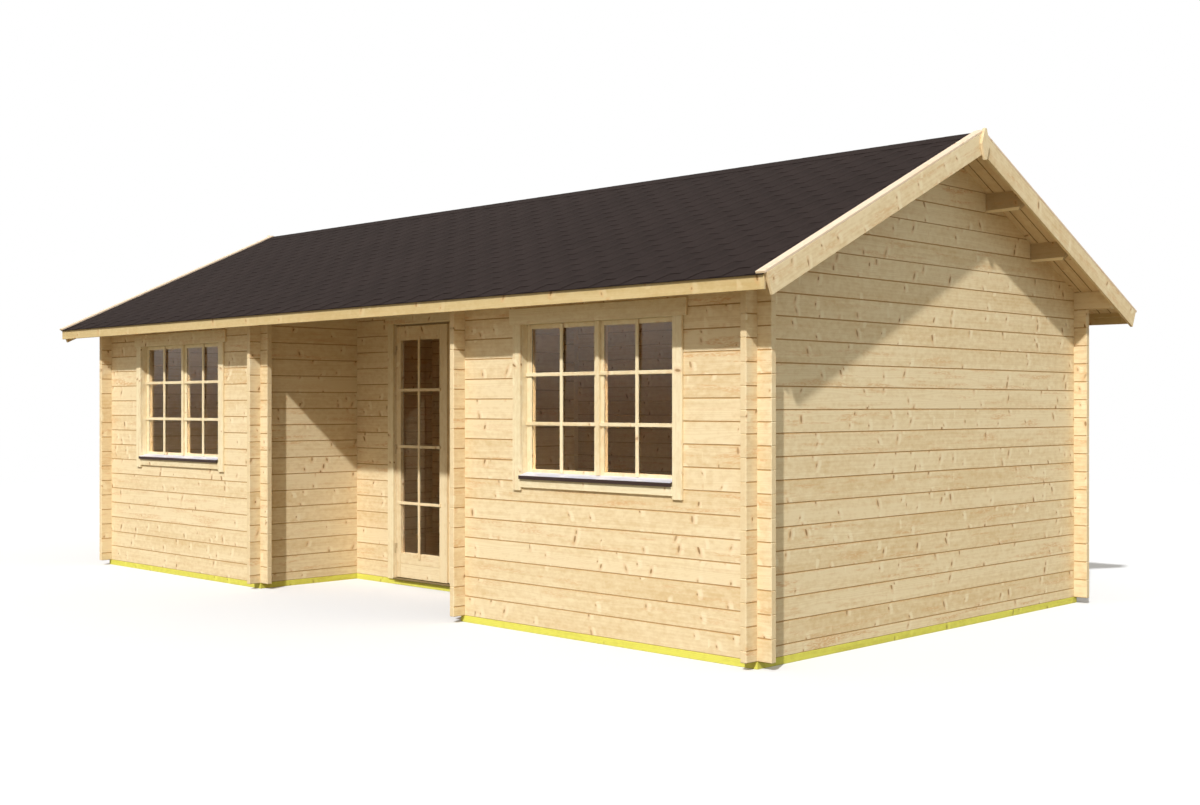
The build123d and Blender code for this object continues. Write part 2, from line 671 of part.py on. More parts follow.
def save_windows():
    """Both windows: frame, two sashes with glass, casing boards and sill."""
    clear = (WINDOW_LINE - WINDOW_CLEAR_WIDTH / 2, WINDOW_LINE + WINDOW_CLEAR_WIDTH / 2)
    clear_z = (WINDOW_FOOT + WINDOW_FRAME_FOOT, WINDOW_TOP - WINDOW_FRAME_HEAD)
    outer = (clear[0] - WINDOW_FRAME_SIDE, clear[1] + WINDOW_FRAME_SIDE)
    outer_z = (WINDOW_FOOT, WINDOW_TOP - SEAM)
    depth = (FRONT_FACE, FRONT_FACE + WINDOW_FRAME_DEPTH)
    frame = [ring(outer, depth, outer_z, clear, clear_z)]
    save("window_frames", frame + mirrored(frame))

    sash_y = (FRONT_FACE + SASH_SETBACK, FRONT_FACE + SASH_SETBACK + SASH_THICKNESS)
    sash_z = (clear_z[0] + SASH_PLAY, clear_z[1] - SASH_PLAY)
    pane_y = sash_y[0] + SASH_PANE_SETBACK + PANE_THICKNESS / 2
    sashes = []
    panes = []
    left_sash = (clear[0] + SASH_PLAY, WINDOW_LINE - SASH_PLAY / 2)
    right_sash = (WINDOW_LINE + SASH_PLAY / 2, clear[1] - SASH_PLAY)
    for low, high in (left_sash, right_sash):
        hole = (low + SASH_STILE, high - SASH_STILE)
        hole_z = (sash_z[0] + SASH_STILE, sash_z[1] - SASH_TOP_RAIL)
        sashes.append(ring((low, high), sash_y, sash_z, hole, hole_z))
        panes.append(pane_in(hole, hole_z, pane_y))
    strip_x = (WINDOW_LINE - SASH_STRIP_WIDTH / 2, WINDOW_LINE + SASH_STRIP_WIDTH / 2)
    strip_y = (sash_y[0] - SEAM - SASH_STRIP_THICKNESS, sash_y[0] - SEAM)
    sashes.append(box(strip_x, strip_y, (clear_z[0] + SILL_SHEET + SILL_SLOPE_RISE, sash_z[1])))
    save("window_sashes", sashes + mirrored(sashes))
    save("window_panes", panes + mirrored(panes))

    board_y = (FRONT_FACE - SEAM - CASING_THICKNESS, FRONT_FACE - SEAM)
    foot = WINDOW_FOOT - SIDE_CASING_DROP
    casings = [
        box((clear[0] - CASING_WIDTH, clear[0]), board_y, (foot, clear_z[1] - SEAM)),
        box((clear[1], clear[1] + CASING_WIDTH), board_y, (foot, clear_z[1] - SEAM)),
    ]
    reach_x = CASING_WIDTH + HEAD_CASING_OVERHANG
    casings.append(
        box((clear[0] - reach_x, clear[1] + reach_x), board_y, (clear_z[1], clear_z[1] + HEAD_CASING_HEIGHT))
    )
    strip_x = (clear[0] + SEAM, clear[1] - SEAM)
    casings.append(box(strip_x, board_y, (WINDOW_FOOT - FOOT_CASING_DROP, clear_z[0] - SILL_LIP)))
    save("window_casings", casings + mirrored(casings))

    back = FRONT_FACE + SASH_SETBACK - SEAM
    lip_y = board_y[0] - SILL_PROJECTION
    back_z = clear_z[0] + SILL_SHEET + SILL_SLOPE_RISE
    lip_z = clear_z[0] + SILL_SHEET
    section = [
        (back, back_z),
        (back, clear_z[0] + SEAM),
        (lip_y + SILL_SHEET, clear_z[0] + SEAM),
        (lip_y + SILL_SHEET, clear_z[0] - SILL_LIP),
        (lip_y, clear_z[0] - SILL_LIP),
        (lip_y, lip_z),
    ]
    sill = [prism_along_x(section, *strip_x)]
    save("window_sills", sill + mirrored(sill))


# Door


HINGE_LINE_X = DOOR_CLEAR_HALF_WIDTH - LEAF_SIDE_GAP
LEAF_FACE = PORCH_FACE + LEAF_SETBACK
HINGE_LINE_Y = LEAF_FACE - HINGE_CLEARANCE - HINGE_RADIUS


def save_door_frame():
    """Jambs, head, casing boards and threshold."""
    clear = DOOR_CLEAR_HALF_WIDTH
    head = DOOR_HEAD
    outer = clear + DOOR_JAMB
    stop_y = LEAF_FACE + LEAF_THICKNESS + DOOR_STOP_GAP
    y = (PORCH_FACE, PORCH_FACE + DOOR_FRAME_DEPTH)
    frame = box((-outer, outer), y, (WALL_BASE, DOOR_TOP - SEAM))
    frame -= box((-clear, clear), (y[0] - 1, stop_y), (0, head))
    frame -= box((-clear + DOOR_STOP, clear - DOOR_STOP), (y[0], y[1] + 1), (0, head - DOOR_STOP))
    save("door_frame", [frame])

    board_y = (PORCH_FACE - SEAM - CASING_THICKNESS, PORCH_FACE - SEAM)
    edge = clear + DOOR_REVEAL
    side = [box((edge, edge + CASING_WIDTH), board_y, (WALL_BASE, head + DOOR_REVEAL - SEAM))]
    reach_x = edge + CASING_WIDTH + HEAD_CASING_OVERHANG
    top = box((-reach_x, reach_x), board_y, (head + DOOR_REVEAL, head + DOOR_REVEAL + HEAD_CASING_HEIGHT))
    save("door_casing", side + mirrored(side) + [top])

    threshold_y = (board_y[0] - THRESHOLD_PROJECTION + CASING_THICKNESS, y[1])
    inner = clear - DOOR_STOP - SEAM
    level = (WALL_BASE, WALL_BASE + THRESHOLD_THICKNESS)
    threshold = box((-clear + SEAM, clear - SEAM), (threshold_y[0], stop_y - SEAM), level)
    threshold += box((-inner, inner), (stop_y - SEAM, y[1]), level)
    save("door_threshold", [threshold])


def hinge_knuckle(x, level):
    """One knuckle of a hinge, on the line that the leaf turns about."""
    return Pos(x, HINGE_LINE_Y, level + HINGE_HEIGHT / 2) * Cylinder(HINGE_RADIUS, HINGE_HEIGHT)


def save_door_leaves():
    """Two glazed leaves and their hinges."""
    foot = WALL_BASE + LEAF_FOOT
    top = DOOR_HEAD - LEAF_HEAD_GAP
    x = (LEAF_MEETING_GAP / 2, HINGE_LINE_X)
    y = (LEAF_FACE, LEAF_FACE + LEAF_THICKNESS)
    hole = (x[0] + LEAF_MEETING_STILE, x[1] - LEAF_STILE)
    hole_z = (foot + LEAF_BOTTOM_RAIL, top - LEAF_TOP_RAIL)
    leaf = ring(x, y, (foot, top), hole, hole_z)
    groove_x = (x[0] + MEETING_EDGE_WIDTH, x[0] + MEETING_EDGE_WIDTH + MEETING_GROOVE_WIDTH)
    leaf -= box(groove_x, (y[0] - 1, y[0] + MEETING_GROOVE_DEPTH), (foot - 1, top + 1))
    pane = pane_in(hole, hole_z, y[0] + LEAF_PANE_SETBACK + PANE_THICKNESS / 2)

    frame_plate_x = (DOOR_CLEAR_HALF_WIDTH - SEAM - HINGE_PLATE_THICKNESS, DOOR_CLEAR_HALF_WIDTH - SEAM)
    frame_plate_y = (HINGE_LINE_Y, HINGE_LINE_Y + HINGE_PLATE_WIDTH)
    leaf_plate_x = (HINGE_LINE_X - HINGE_PLATE_WIDTH, HINGE_LINE_X - HINGE_PLATE_THICKNESS)
    frame_halves = []
    leaf_halves = []
    lowest = foot + HINGE_FOOT_DISTANCE
    highest = top - HINGE_HEAD_DISTANCE
    for low in (lowest, (lowest + highest) / 2, highest):
        plate = box(frame_plate_x, frame_plate_y, (low, low + HINGE_HEIGHT))
        frame_halves.append(hinge_knuckle(HINGE_LINE_X, low) + plate)
        high = low + HINGE_HEIGHT + SEAM
        plate_y = (LEAF_FACE - HINGE_PLATE_THICKNESS - SEAM, LEAF_FACE - SEAM)
        plate = box(leaf_plate_x, plate_y, (high, high + HINGE_HEIGHT))
        leaf_halves.append(hinge_knuckle(HINGE_LINE_X, high) + plate)
    save("door_frame_hinges", frame_halves + mirrored(frame_halves))
    save("door_right_leaf", [leaf])
    save("door_right_pane", [pane])
    save("door_right_hinges", leaf_halves)
    save("door_left_leaf", mirrored([leaf]))
    save("door_left_pane", mirrored([pane]))
    save("door_left_hinges", mirrored(leaf_halves))


os.makedirs("parts", exist_ok=True)
save_foundation()
save_floor()
save_front_walls()
save_rear_wall()
save_gables()
save_porch_sides()
save_porch_back()
save_eave_logs()
save_purlins()
save_roof_covering()
save_fascias()
save_barges()
save_windows()
save_door_frame()
save_door_leaves()
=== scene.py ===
"""The finish of a log cabin with a recessed porch between two rooms.

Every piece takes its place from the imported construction. X runs along the ridge, the porch
faces -Y, Z is up, and lengths are in metres.
"""

import logging
import math
import random
import zlib
from collections.abc import Iterator, Mapping, Sequence
from dataclasses import dataclass, field, replace
from enum import Enum
from typing import Any

import bmesh
import bpy
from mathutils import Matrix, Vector


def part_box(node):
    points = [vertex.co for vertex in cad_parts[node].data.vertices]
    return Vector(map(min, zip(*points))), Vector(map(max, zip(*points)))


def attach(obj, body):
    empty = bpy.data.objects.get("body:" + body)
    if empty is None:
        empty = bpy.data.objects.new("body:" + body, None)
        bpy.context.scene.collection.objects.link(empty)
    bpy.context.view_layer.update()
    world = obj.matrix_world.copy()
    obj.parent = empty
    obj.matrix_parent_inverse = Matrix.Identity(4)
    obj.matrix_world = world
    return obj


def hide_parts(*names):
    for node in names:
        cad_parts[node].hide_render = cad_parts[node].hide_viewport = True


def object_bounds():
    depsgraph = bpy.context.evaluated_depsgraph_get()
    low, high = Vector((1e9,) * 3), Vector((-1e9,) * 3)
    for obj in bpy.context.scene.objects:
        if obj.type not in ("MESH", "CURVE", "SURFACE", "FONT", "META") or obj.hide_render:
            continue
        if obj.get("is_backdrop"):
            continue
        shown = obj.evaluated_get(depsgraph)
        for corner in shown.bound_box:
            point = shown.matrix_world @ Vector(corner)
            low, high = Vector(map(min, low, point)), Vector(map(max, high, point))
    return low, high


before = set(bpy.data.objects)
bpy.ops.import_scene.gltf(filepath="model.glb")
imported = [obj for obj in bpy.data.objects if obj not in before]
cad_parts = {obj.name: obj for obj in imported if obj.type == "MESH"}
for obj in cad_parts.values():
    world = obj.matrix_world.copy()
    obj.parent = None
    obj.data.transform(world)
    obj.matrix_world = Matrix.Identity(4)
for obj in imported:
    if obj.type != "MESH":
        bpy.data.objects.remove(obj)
CAD_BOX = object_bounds()
CABIN = "cabin"
LOG = logging.getLogger(CABIN)

Colour = tuple[float, float, float]
Point = tuple[float, float]
Box = tuple[Vector, Vector]
Element = bmesh.types.BMVert | bmesh.types.BMEdge | bmesh.types.BMFace
WHITE: Colour = (1.0, 1.0, 1.0)


# Shader expressions


class Signal:
    """One output of a shader tree. Arithmetic on signals adds Math nodes."""

    def __init__(self, recipe: "Recipe", socket: bpy.types.NodeSocket) -> None:
        """Remembers the recipe and the output."""
        self.recipe = recipe
        self.socket = socket

    def sibling(self, name: str) -> "Signal":
        """Another output of the same node."""
        return Signal(self.recipe, self.socket.node.outputs[name])

    def __add__(self, other: "Signal | float") -> "Signal":
        """This plus other."""
        return self.recipe.math("ADD", self, other)

    def __radd__(self, other: float) -> "Signal":
        """Other plus this."""
        return self.recipe.math("ADD", other, self)

    def __sub__(self, other: "Signal | float") -> "Signal":
        """This minus other."""
        return self.recipe.math("SUBTRACT", self, other)

    def __rsub__(self, other: float) -> "Signal":
        """Other minus this."""
        return self.recipe.math("SUBTRACT", other, self)

    def __mul__(self, other: "Signal | float") -> "Signal":
        """This times other."""
        return self.recipe.math("MULTIPLY", self, other)

    def __rmul__(self, other: float) -> "Signal":
        """Other times this."""
        return self.recipe.math("MULTIPLY", other, self)

    def __truediv__(self, other: "Signal | float") -> "Signal":
        """This divided by other."""
        return self.recipe.math("DIVIDE", self, other)

    def __rtruediv__(self, other: float) -> "Signal":
        """Other divided by this."""
        return self.recipe.math("DIVIDE", other, self)

    def __pow__(self, other: "Signal | float") -> "Signal":
        """This to the power of other."""
        return self.recipe.math("POWER", self, other)

    def __rpow__(self, other: float) -> "Signal":
        """Other to the power of this."""
        return self.recipe.math("POWER", other, self)

    def __lt__(self, other: "Signal | float") -> "Signal":
        """1 where this is under other, and 0 elsewhere."""
        return self.recipe.math("LESS_THAN", self, other)

    def __gt__(self, other: "Signal | float") -> "Signal":
        """1 where this is over other, and 0 elsewhere."""
        return self.recipe.math("GREATER_THAN", self, other)


class Target(Enum):
    """What a recipe makes, by its last node."""

    MATERIAL = "ShaderNodeOutputMaterial"
    SKY = "ShaderNodeOutputWorld"


class Recipe:
    """A material or a sky while its nodes are being added."""

    def __init__(self, name: str, target: Target = Target.MATERIAL) -> None:
        """Starts an empty material or sky.

        Args:
            name: what it is called.
            target: which of the two.
        """
        library = bpy.data.worlds if target is Target.SKY else bpy.data.materials
        self.target = target
        self.made = library.new(name)
        self.made.use_nodes = True
        self.tree = self.made.node_tree
        self.tree.nodes.clear()

    def node(
        self,
        kind: str,
        settings: Mapping[str, Any] | None = None,
        sockets: Mapping[str | int, Any] | None = None,
        output: str | int = 0,
    ) -> Signal:
        """Adds one node, as _add does, and returns one of its outputs."""
        return Signal(self, self._add(kind, settings or {}, sockets or {}).outputs[output])

    def _add(self, kind: str, settings: Mapping[str, Any], sockets: Mapping[str | int, Any]) -> bpy.types.Node:
        """Adds one node with its settings, then its sockets.

        Args:
            kind: the node's type.
            settings: the node's own options, set before its sockets. "stops" are a ramp's.
            sockets: a value or a signal for each input.

        Returns:
            The node.
        """
        made = self.tree.nodes.new(kind)
        for key, value in settings.items():
            if key == "stops":
                self._set_stops(made.color_ramp, value)
            else:
                setattr(made, key, value)
        for key, value in sockets.items():
            socket = made.inputs[key]
            if isinstance(value, Signal):
                self.tree.links.new(value.socket, socket)
            elif isinstance(value, (tuple, Vector)) and len(socket.default_value) > len(value):
                socket.default_value = (*value, 1.0)
            else:
                socket.default_value = value
        return made

    @staticmethod
    def _set_stops(ramp: bpy.types.ColorRamp, stops: Sequence[tuple[float, Colour]]) -> None:
        """Gives a ramp its stops.

        Args:
            ramp: the ramp.
            stops: the place and colour of each.
        """
        for position, colour in stops[len(ramp.elements):]:
            ramp.elements.new(position)
        for element, (position, colour) in zip(ramp.elements, stops):
            element.position = position
            element.color = (*colour, 1.0)

    def math(self, operation: str, first: Signal | float, second: Signal | float = 0.0) -> Signal:
        """Adds one Math node."""
        return self.node("ShaderNodeMath", {"operation": operation}, {0: first, 1: second})

    def attribute(self, name: str) -> Signal:
        """A vector that the mesh carries."""
        return self.node("ShaderNodeAttribute", {"attribute_name": name}, output="Vector")

    def parts(self, vector: Signal) -> tuple[Signal, Signal, Signal]:
        """The three numbers of a vector."""
        x = self.node("ShaderNodeSeparateXYZ", sockets={0: vector})
        return x, x.sibling("Y"), x.sibling("Z")

    def vector(self, x: Signal | float, y: Signal | float, z: Signal | float) -> Signal:
        """A vector made of three numbers."""
        return self.node("ShaderNodeCombineXYZ", sockets={0: x, 1: y, 2: z})

    def scaled(self, vector: Signal, factors: Colour) -> Signal:
        """A vector stretched along its axes."""
        return self.node("ShaderNodeVectorMath", {"operation": "MULTIPLY"}, {0: vector, 1: factors})

    def noise(self, vector: Signal, factors: Colour, detail: float = 2.0, rough: float = 0.5) -> Signal:
        """Smooth noise around one half, with factors as its waves in a metre along each axis."""
        sockets = {"Vector": self.scaled(vector, factors), "Scale": 1.0, "Detail": detail, "Roughness": rough}
        return self.node("ShaderNodeTexNoise", sockets=sockets)

    def fade(self, value: Signal, start: float, end: float) -> Signal:
        """0 at start and 1 at end, with a smooth turn at both."""
        sockets = {"Value": value, "From Min": start, "From Max": end, "To Min": 0.0, "To Max": 1.0}
        return self.node("ShaderNodeMapRange", {"interpolation_type": "SMOOTHSTEP"}, sockets)

    def blend(self, share: Signal | float, first: Signal | Colour, second: Signal | Colour) -> Signal:
        """The first colour with a share of the second."""
        sockets = {0: share, 6: first, 7: second}
        return self.node("ShaderNodeMix", {"data_type": "RGBA"}, sockets, output=2)

    def relief(self, height: Signal, depth: float) -> Signal:
        """A normal that follows a height from 0 to 1, whose real depth is in metres."""
        return self.node("ShaderNodeBump", sockets={"Strength": 1.0, "Distance": depth, "Height": height})

    def surface(self, sockets: Mapping[str, Any]) -> Signal:
        """Adds the main shader."""
        return self.node("ShaderNodeBsdfPrincipled", sockets=sockets)

    def done(self, shader: Signal) -> bpy.types.Material | bpy.types.World:
        """Connects a shader to the output and returns the material or the sky."""
        self._add(self.target.value, {}, {"Surface": shader})
        return self.made


# Finishes


@dataclass(frozen=True)
class Wood:
    """Sawn timber whose growth rings, knots and streaks follow each piece's own grain."""

    name: str
    pale: Colour = (0.86, 0.708, 0.465)
    deep: Colour = (0.70, 0.508, 0.270)
    red: Colour = (0.68, 0.380, 0.165)
    knot: Colour = (0.30, 0.160, 0.055)
    # seam: painted shade for the grooves at the joints, laid on the chamfers beside them.
    seam: Colour = (0.49, 0.285, 0.105)
    light: Colour = (0.93, 0.820, 0.590)
    end: Colour = (0.76, 0.590, 0.355)
    ring_width: float = 0.0058
    ring_depth: float = 0.30
    figure_width: float = 0.021
    knot_row: float = 0.22
    knot_step: float = 0.066
    knot_share: float = 0.32
    flame_shift: float = 0.022
    flame_width: float = 0.030
    flame_length: float = 0.055
    streaks: float = 0.75
    roughness: float = 0.58
    relief: float = 0.0003

    def material(self) -> bpy.types.Material:
        """Builds the nodes.

        Returns:
            The material.
        """
        recipe = Recipe(self.name)
        grain = recipe.attribute("grain")
        along, across, deep = recipe.parts(grain)
        tone, warmth, plenty = recipe.parts(recipe.attribute("board"))
        joint, end, turned = recipe.parts(recipe.attribute("cut"))
        whorl = recipe.fade(recipe.noise(grain, (2.1, 0.0, 0.0), 1.0), 0.44, 0.58)
        face = across + (deep - across) * turned
        core, halo, flame = self._knots(recipe, along, face, plenty * (whorl * 1.5 + 0.35))

        wander = recipe.noise(grain, (0.55, 2.2, 2.2)) - 0.5
        radius = (across * across + deep * deep) ** 0.5 + wander * 0.045 + halo * 0.010
        waver = recipe.noise(grain, (3.0, 18.0, 18.0))
        wave = recipe.math("SINE", (radius / self.ring_width + waver) * math.tau)
        late = (wave * 0.5 + 0.5) ** 2.5
        figure = recipe.math("SINE", (radius / self.figure_width + waver * 0.6) * math.tau)
        mottle = recipe.noise(grain, (19.0, 30.0, 30.0), 3.0, 0.6)
        speckle = recipe.fade(recipe.noise(grain, (34.0, 150.0, 150.0)), 0.36, 0.58)
        fibre = recipe.noise(grain, (9.0, 420.0, 420.0))
        cloud = recipe.noise(grain, (0.9, 7.0, 7.0), 3.0)
        band = recipe.noise(grain, (0.8, 46.0, 46.0), 3.0, 0.6)
        streak = recipe.fade(recipe.noise(grain, (2.6, 24.0, 24.0), 4.0), 0.52, 0.66)

        share = tone * 0.45 + (cloud - 0.5) * 1.3 + (band - 0.5) * 0.8 + (mottle - 0.5) * 1.8 + figure * 0.08
        colour = recipe.blend(share - flame * 0.8, self.pale, self.deep)
        colour = recipe.blend(flame * 0.42, colour, self.light)
        colour = recipe.blend(streak * speckle * warmth * self.streaks, colour, self.red)
        colour = recipe.blend(late * self.ring_depth, colour, self.deep)
        colour = recipe.blend((fibre - 0.35) * 0.25, colour, self.deep)
        colour = recipe.blend(halo * 0.38, colour, self.red)
        colour = recipe.blend(core * 0.92, colour, self.knot)
        # End faces take the end-grain tone; chamfers that take it too get a painted highlight.
        colour = recipe.blend(end * 0.6, colour, self.end)
        # Painted shade: chamfers beside the joints darken towards the seam colour, standing for the shade
        # inside the grooves.
        colour = recipe.blend(joint * 0.88, colour, self.seam)
        height = fibre * 0.5 + late * 0.35 + core * 0.5
        return recipe.done(
            recipe.surface(
                {
                    "Base Color": colour,
                    "Roughness": late * -0.10 + (self.roughness + 0.05),
                    "Normal": recipe.relief(height, self.relief),
                    "Specular IOR Level": 0.35,
                }
            )
        )

    def _knots(
        self, recipe: Recipe, along: Signal, across: Signal, plenty: Signal
    ) -> tuple[Signal, Signal, Signal]:
        """Scatters knots as short dark ticks across the grain.

        Args:
            recipe: the material.
            along: distance along the grain.
            across: distance across it.
            plenty: how knotty this piece is.

        Returns:
            The knots themselves, the wood that they stain and the pale wood beside them, each from
            0 to 1.
        """
        cells = recipe.vector(along / self.knot_row, across / self.knot_step, 0.0)
        settings = {"voronoi_dimensions": "2D", "feature": "F1"}
        centre = recipe.node("ShaderNodeTexVoronoi", settings, {"Vector": cells, "Scale": 1.0}, "Position")
        chance, size, lean = recipe.parts(centre.sibling("Color"))
        middle_along, middle_across, _ = recipe.parts(centre)
        aside = across - middle_across * self.knot_step
        ahead = along - middle_along * self.knot_row + (lean - 0.5) * aside * 0.9
        half_width = size * 0.0055 + 0.0040
        half_length = size * size * 0.018 + 0.006
        far = self._far(ahead, aside, half_width, half_length)
        beside = self._far(ahead - self.flame_shift, aside, self.flame_width, self.flame_length)
        there = chance < plenty * self.knot_share
        core = recipe.fade(far, 1.25, 0.6) * there * (recipe.math("FRACT", size * 7.0) * 0.55 + 0.45)
        return core, recipe.fade(far, 3.4, 0.9) * there, recipe.fade(beside, 1.0, 0.3) * there

    @staticmethod
    def _far(ahead: Signal, aside: Signal, half_width: Signal | float, half_length: Signal | float) -> Signal:
        """How far a place is from an oval's middle, where 1 is the oval's edge."""
        wide, high = ahead / half_width, aside / half_length
        return (wide * wide + high * high) ** 0.5


@dataclass(frozen=True)
class Shingle:
    """Bitumen shingle with mineral grit."""

    name: str = "shingle_grit"
    dark: Colour = (0.0155, 0.0096, 0.0086)
    light: Colour = (0.029, 0.0190, 0.0175)

    def material(self) -> bpy.types.Material:
        """Builds the nodes.

        Returns:
            The material.
        """
        recipe = Recipe(self.name)
        place = recipe.node("ShaderNodeTexCoord", output="Object")
        tone, rise, aside = recipe.parts(recipe.attribute("tab"))
        grit = recipe.noise(place, (420.0, 420.0, 420.0), 2.0, 0.7)
        patch = recipe.noise(place, (1.7, 1.7, 1.7), 3.0)
        shade = recipe.fade(rise, 0.9, 1.25) * recipe.fade(recipe.math("ABSOLUTE", aside), 0.40, 0.12)
        speck = recipe.noise(place, (55.0, 55.0, 55.0), 3.0, 0.7) - 0.5
        share = tone * 0.15 + grit * 0.7 + (patch - 0.5) * 0.6 + speck * 1.3 - shade * 0.36 + 0.06
        return recipe.done(
            recipe.surface(
                {
                    "Base Color": recipe.blend(share, self.dark, self.light),
                    "Roughness": grit * 0.1 + 0.88,
                    "Normal": recipe.relief(grit, 0.0006),
                    "Specular IOR Level": 0.12,
                }
            )
        )


@dataclass(frozen=True)
class Glass:
    """Window glass that lets lamp light through; its warm tint is painted light standing in for warm bounce
    light inside the rooms.
    """

    name: str
    tint: Colour
    lamp: Colour

    def material(self) -> bpy.types.Material:
        """Builds the nodes.

        Returns:
            The material.
        """
        recipe = Recipe(self.name)
        glass = recipe.surface(
            {"Base Color": self.tint, "Roughness": 0.0, "IOR": 1.5, "Transmission Weight": 1.0}
        )
        clear = recipe.node("ShaderNodeBsdfTransparent", sockets={"Color": self.lamp})
        shadow = recipe.node("ShaderNodeLightPath", output="Is Shadow Ray")
        return recipe.done(recipe.node("ShaderNodeMixShader", sockets={0: shadow, 1: glass, 2: clear}))


@dataclass(frozen=True)
class Metal:
    """Metal with a faint wear."""

    name: str
    colour: Colour
    wear_and_highlight: Colour
    metallic: float
    roughness: float

    def material(self) -> bpy.types.Material:
        """Builds the nodes.

        Returns:
            The material.
        """
        recipe = Recipe(self.name)
        place = recipe.node("ShaderNodeTexCoord", output="Object")
        cloud = recipe.noise(place, (9.0, 9.0, 9.0), 4.0)
        scratch = recipe.noise(place, (6.0, 160.0, 160.0), 2.0)
        share = recipe.fade(cloud * 0.6 + scratch * 0.4, 0.42, 0.68)
        return recipe.done(
            recipe.surface(
                {
                    "Base Color": recipe.blend(share, self.colour, self.wear_and_highlight),
                    "Metallic": self.metallic,
                    "Roughness": share * 0.12 + self.roughness,
                    "Normal": recipe.relief(cloud, 0.0004),
                }
            )
        )


@dataclass(frozen=True)
class FoldedSheet:
    """Dark coated sheet whose sloping top is painted pale and bluish as a painted reflection of the sky; its
    lip keeps the dark coat.
    """

    name: str = "sill_sheet"
    # top and shade: the painted reflection of the sky on the sloping top, mottled.
    top: Colour = (0.76, 0.79, 0.95)
    shade: Colour = (0.62, 0.64, 0.78)
    lip: Colour = (0.034, 0.015, 0.013)

    def material(self) -> bpy.types.Material:
        """Builds the nodes.

        Returns:
            The material.
        """
        recipe = Recipe(self.name)
        place = recipe.node("ShaderNodeTexCoord", output="Object")
        normal = recipe.node("ShaderNodeNewGeometry", output="True Normal")
        _, _, facing = recipe.parts(normal)
        # Painted reflection: faces that point up get the pale sky colour in place of the dark coat.
        painted_reflection_share = recipe.fade(facing, 0.6, 0.8)
        cloud = recipe.noise(place, (14.0, 40.0, 40.0), 3.0)
        tint = recipe.blend(cloud * 0.25, self.top, self.shade)
        return recipe.done(
            recipe.surface(
                {
                    "Base Color": recipe.blend(painted_reflection_share, self.lip, tint),
                    "Metallic": painted_reflection_share * 0.35,
                    "Roughness": cloud * 0.15 + 0.30,
                    "Normal": recipe.relief(cloud, 0.0002),
                }
            )
        )


# Timber pieces


class Grain(Enum):
    """The way that the fibres of a piece run."""

    ALONG_X = "x"
    ALONG_Y = "y"
    ALONG_Z = "z"
    LONGEST_SIDE = "side"
    LONGEST_EDGE = "edge"


class Easing(Enum):
    """Which edges of a piece are taken off."""

    ALL = "all"
    LONG = "long"


AXES = {Grain.ALONG_X: Vector((1, 0, 0)), Grain.ALONG_Y: Vector((0, 1, 0)), Grain.ALONG_Z: Vector((0, 0, 1))}
MERGE = 1e-5  # corners closer than this are one
SHORTEST = 0.0002  # shorter edges than this are closed up
SNAP = 0.002  # a cut this close to a corner runs through it
JOINT = 0.0004  # the hairline between pieces that meet
FLAT = math.radians(1.0)  # faces that turn less than this are one side
SQUARE = 0.999  # the cosine of what counts as parallel
SLANT = (0.3, 0.95)  # how far the normal of a chamfer leans across the grain
LEVEL = 0.1  # how far it may lean along the grain


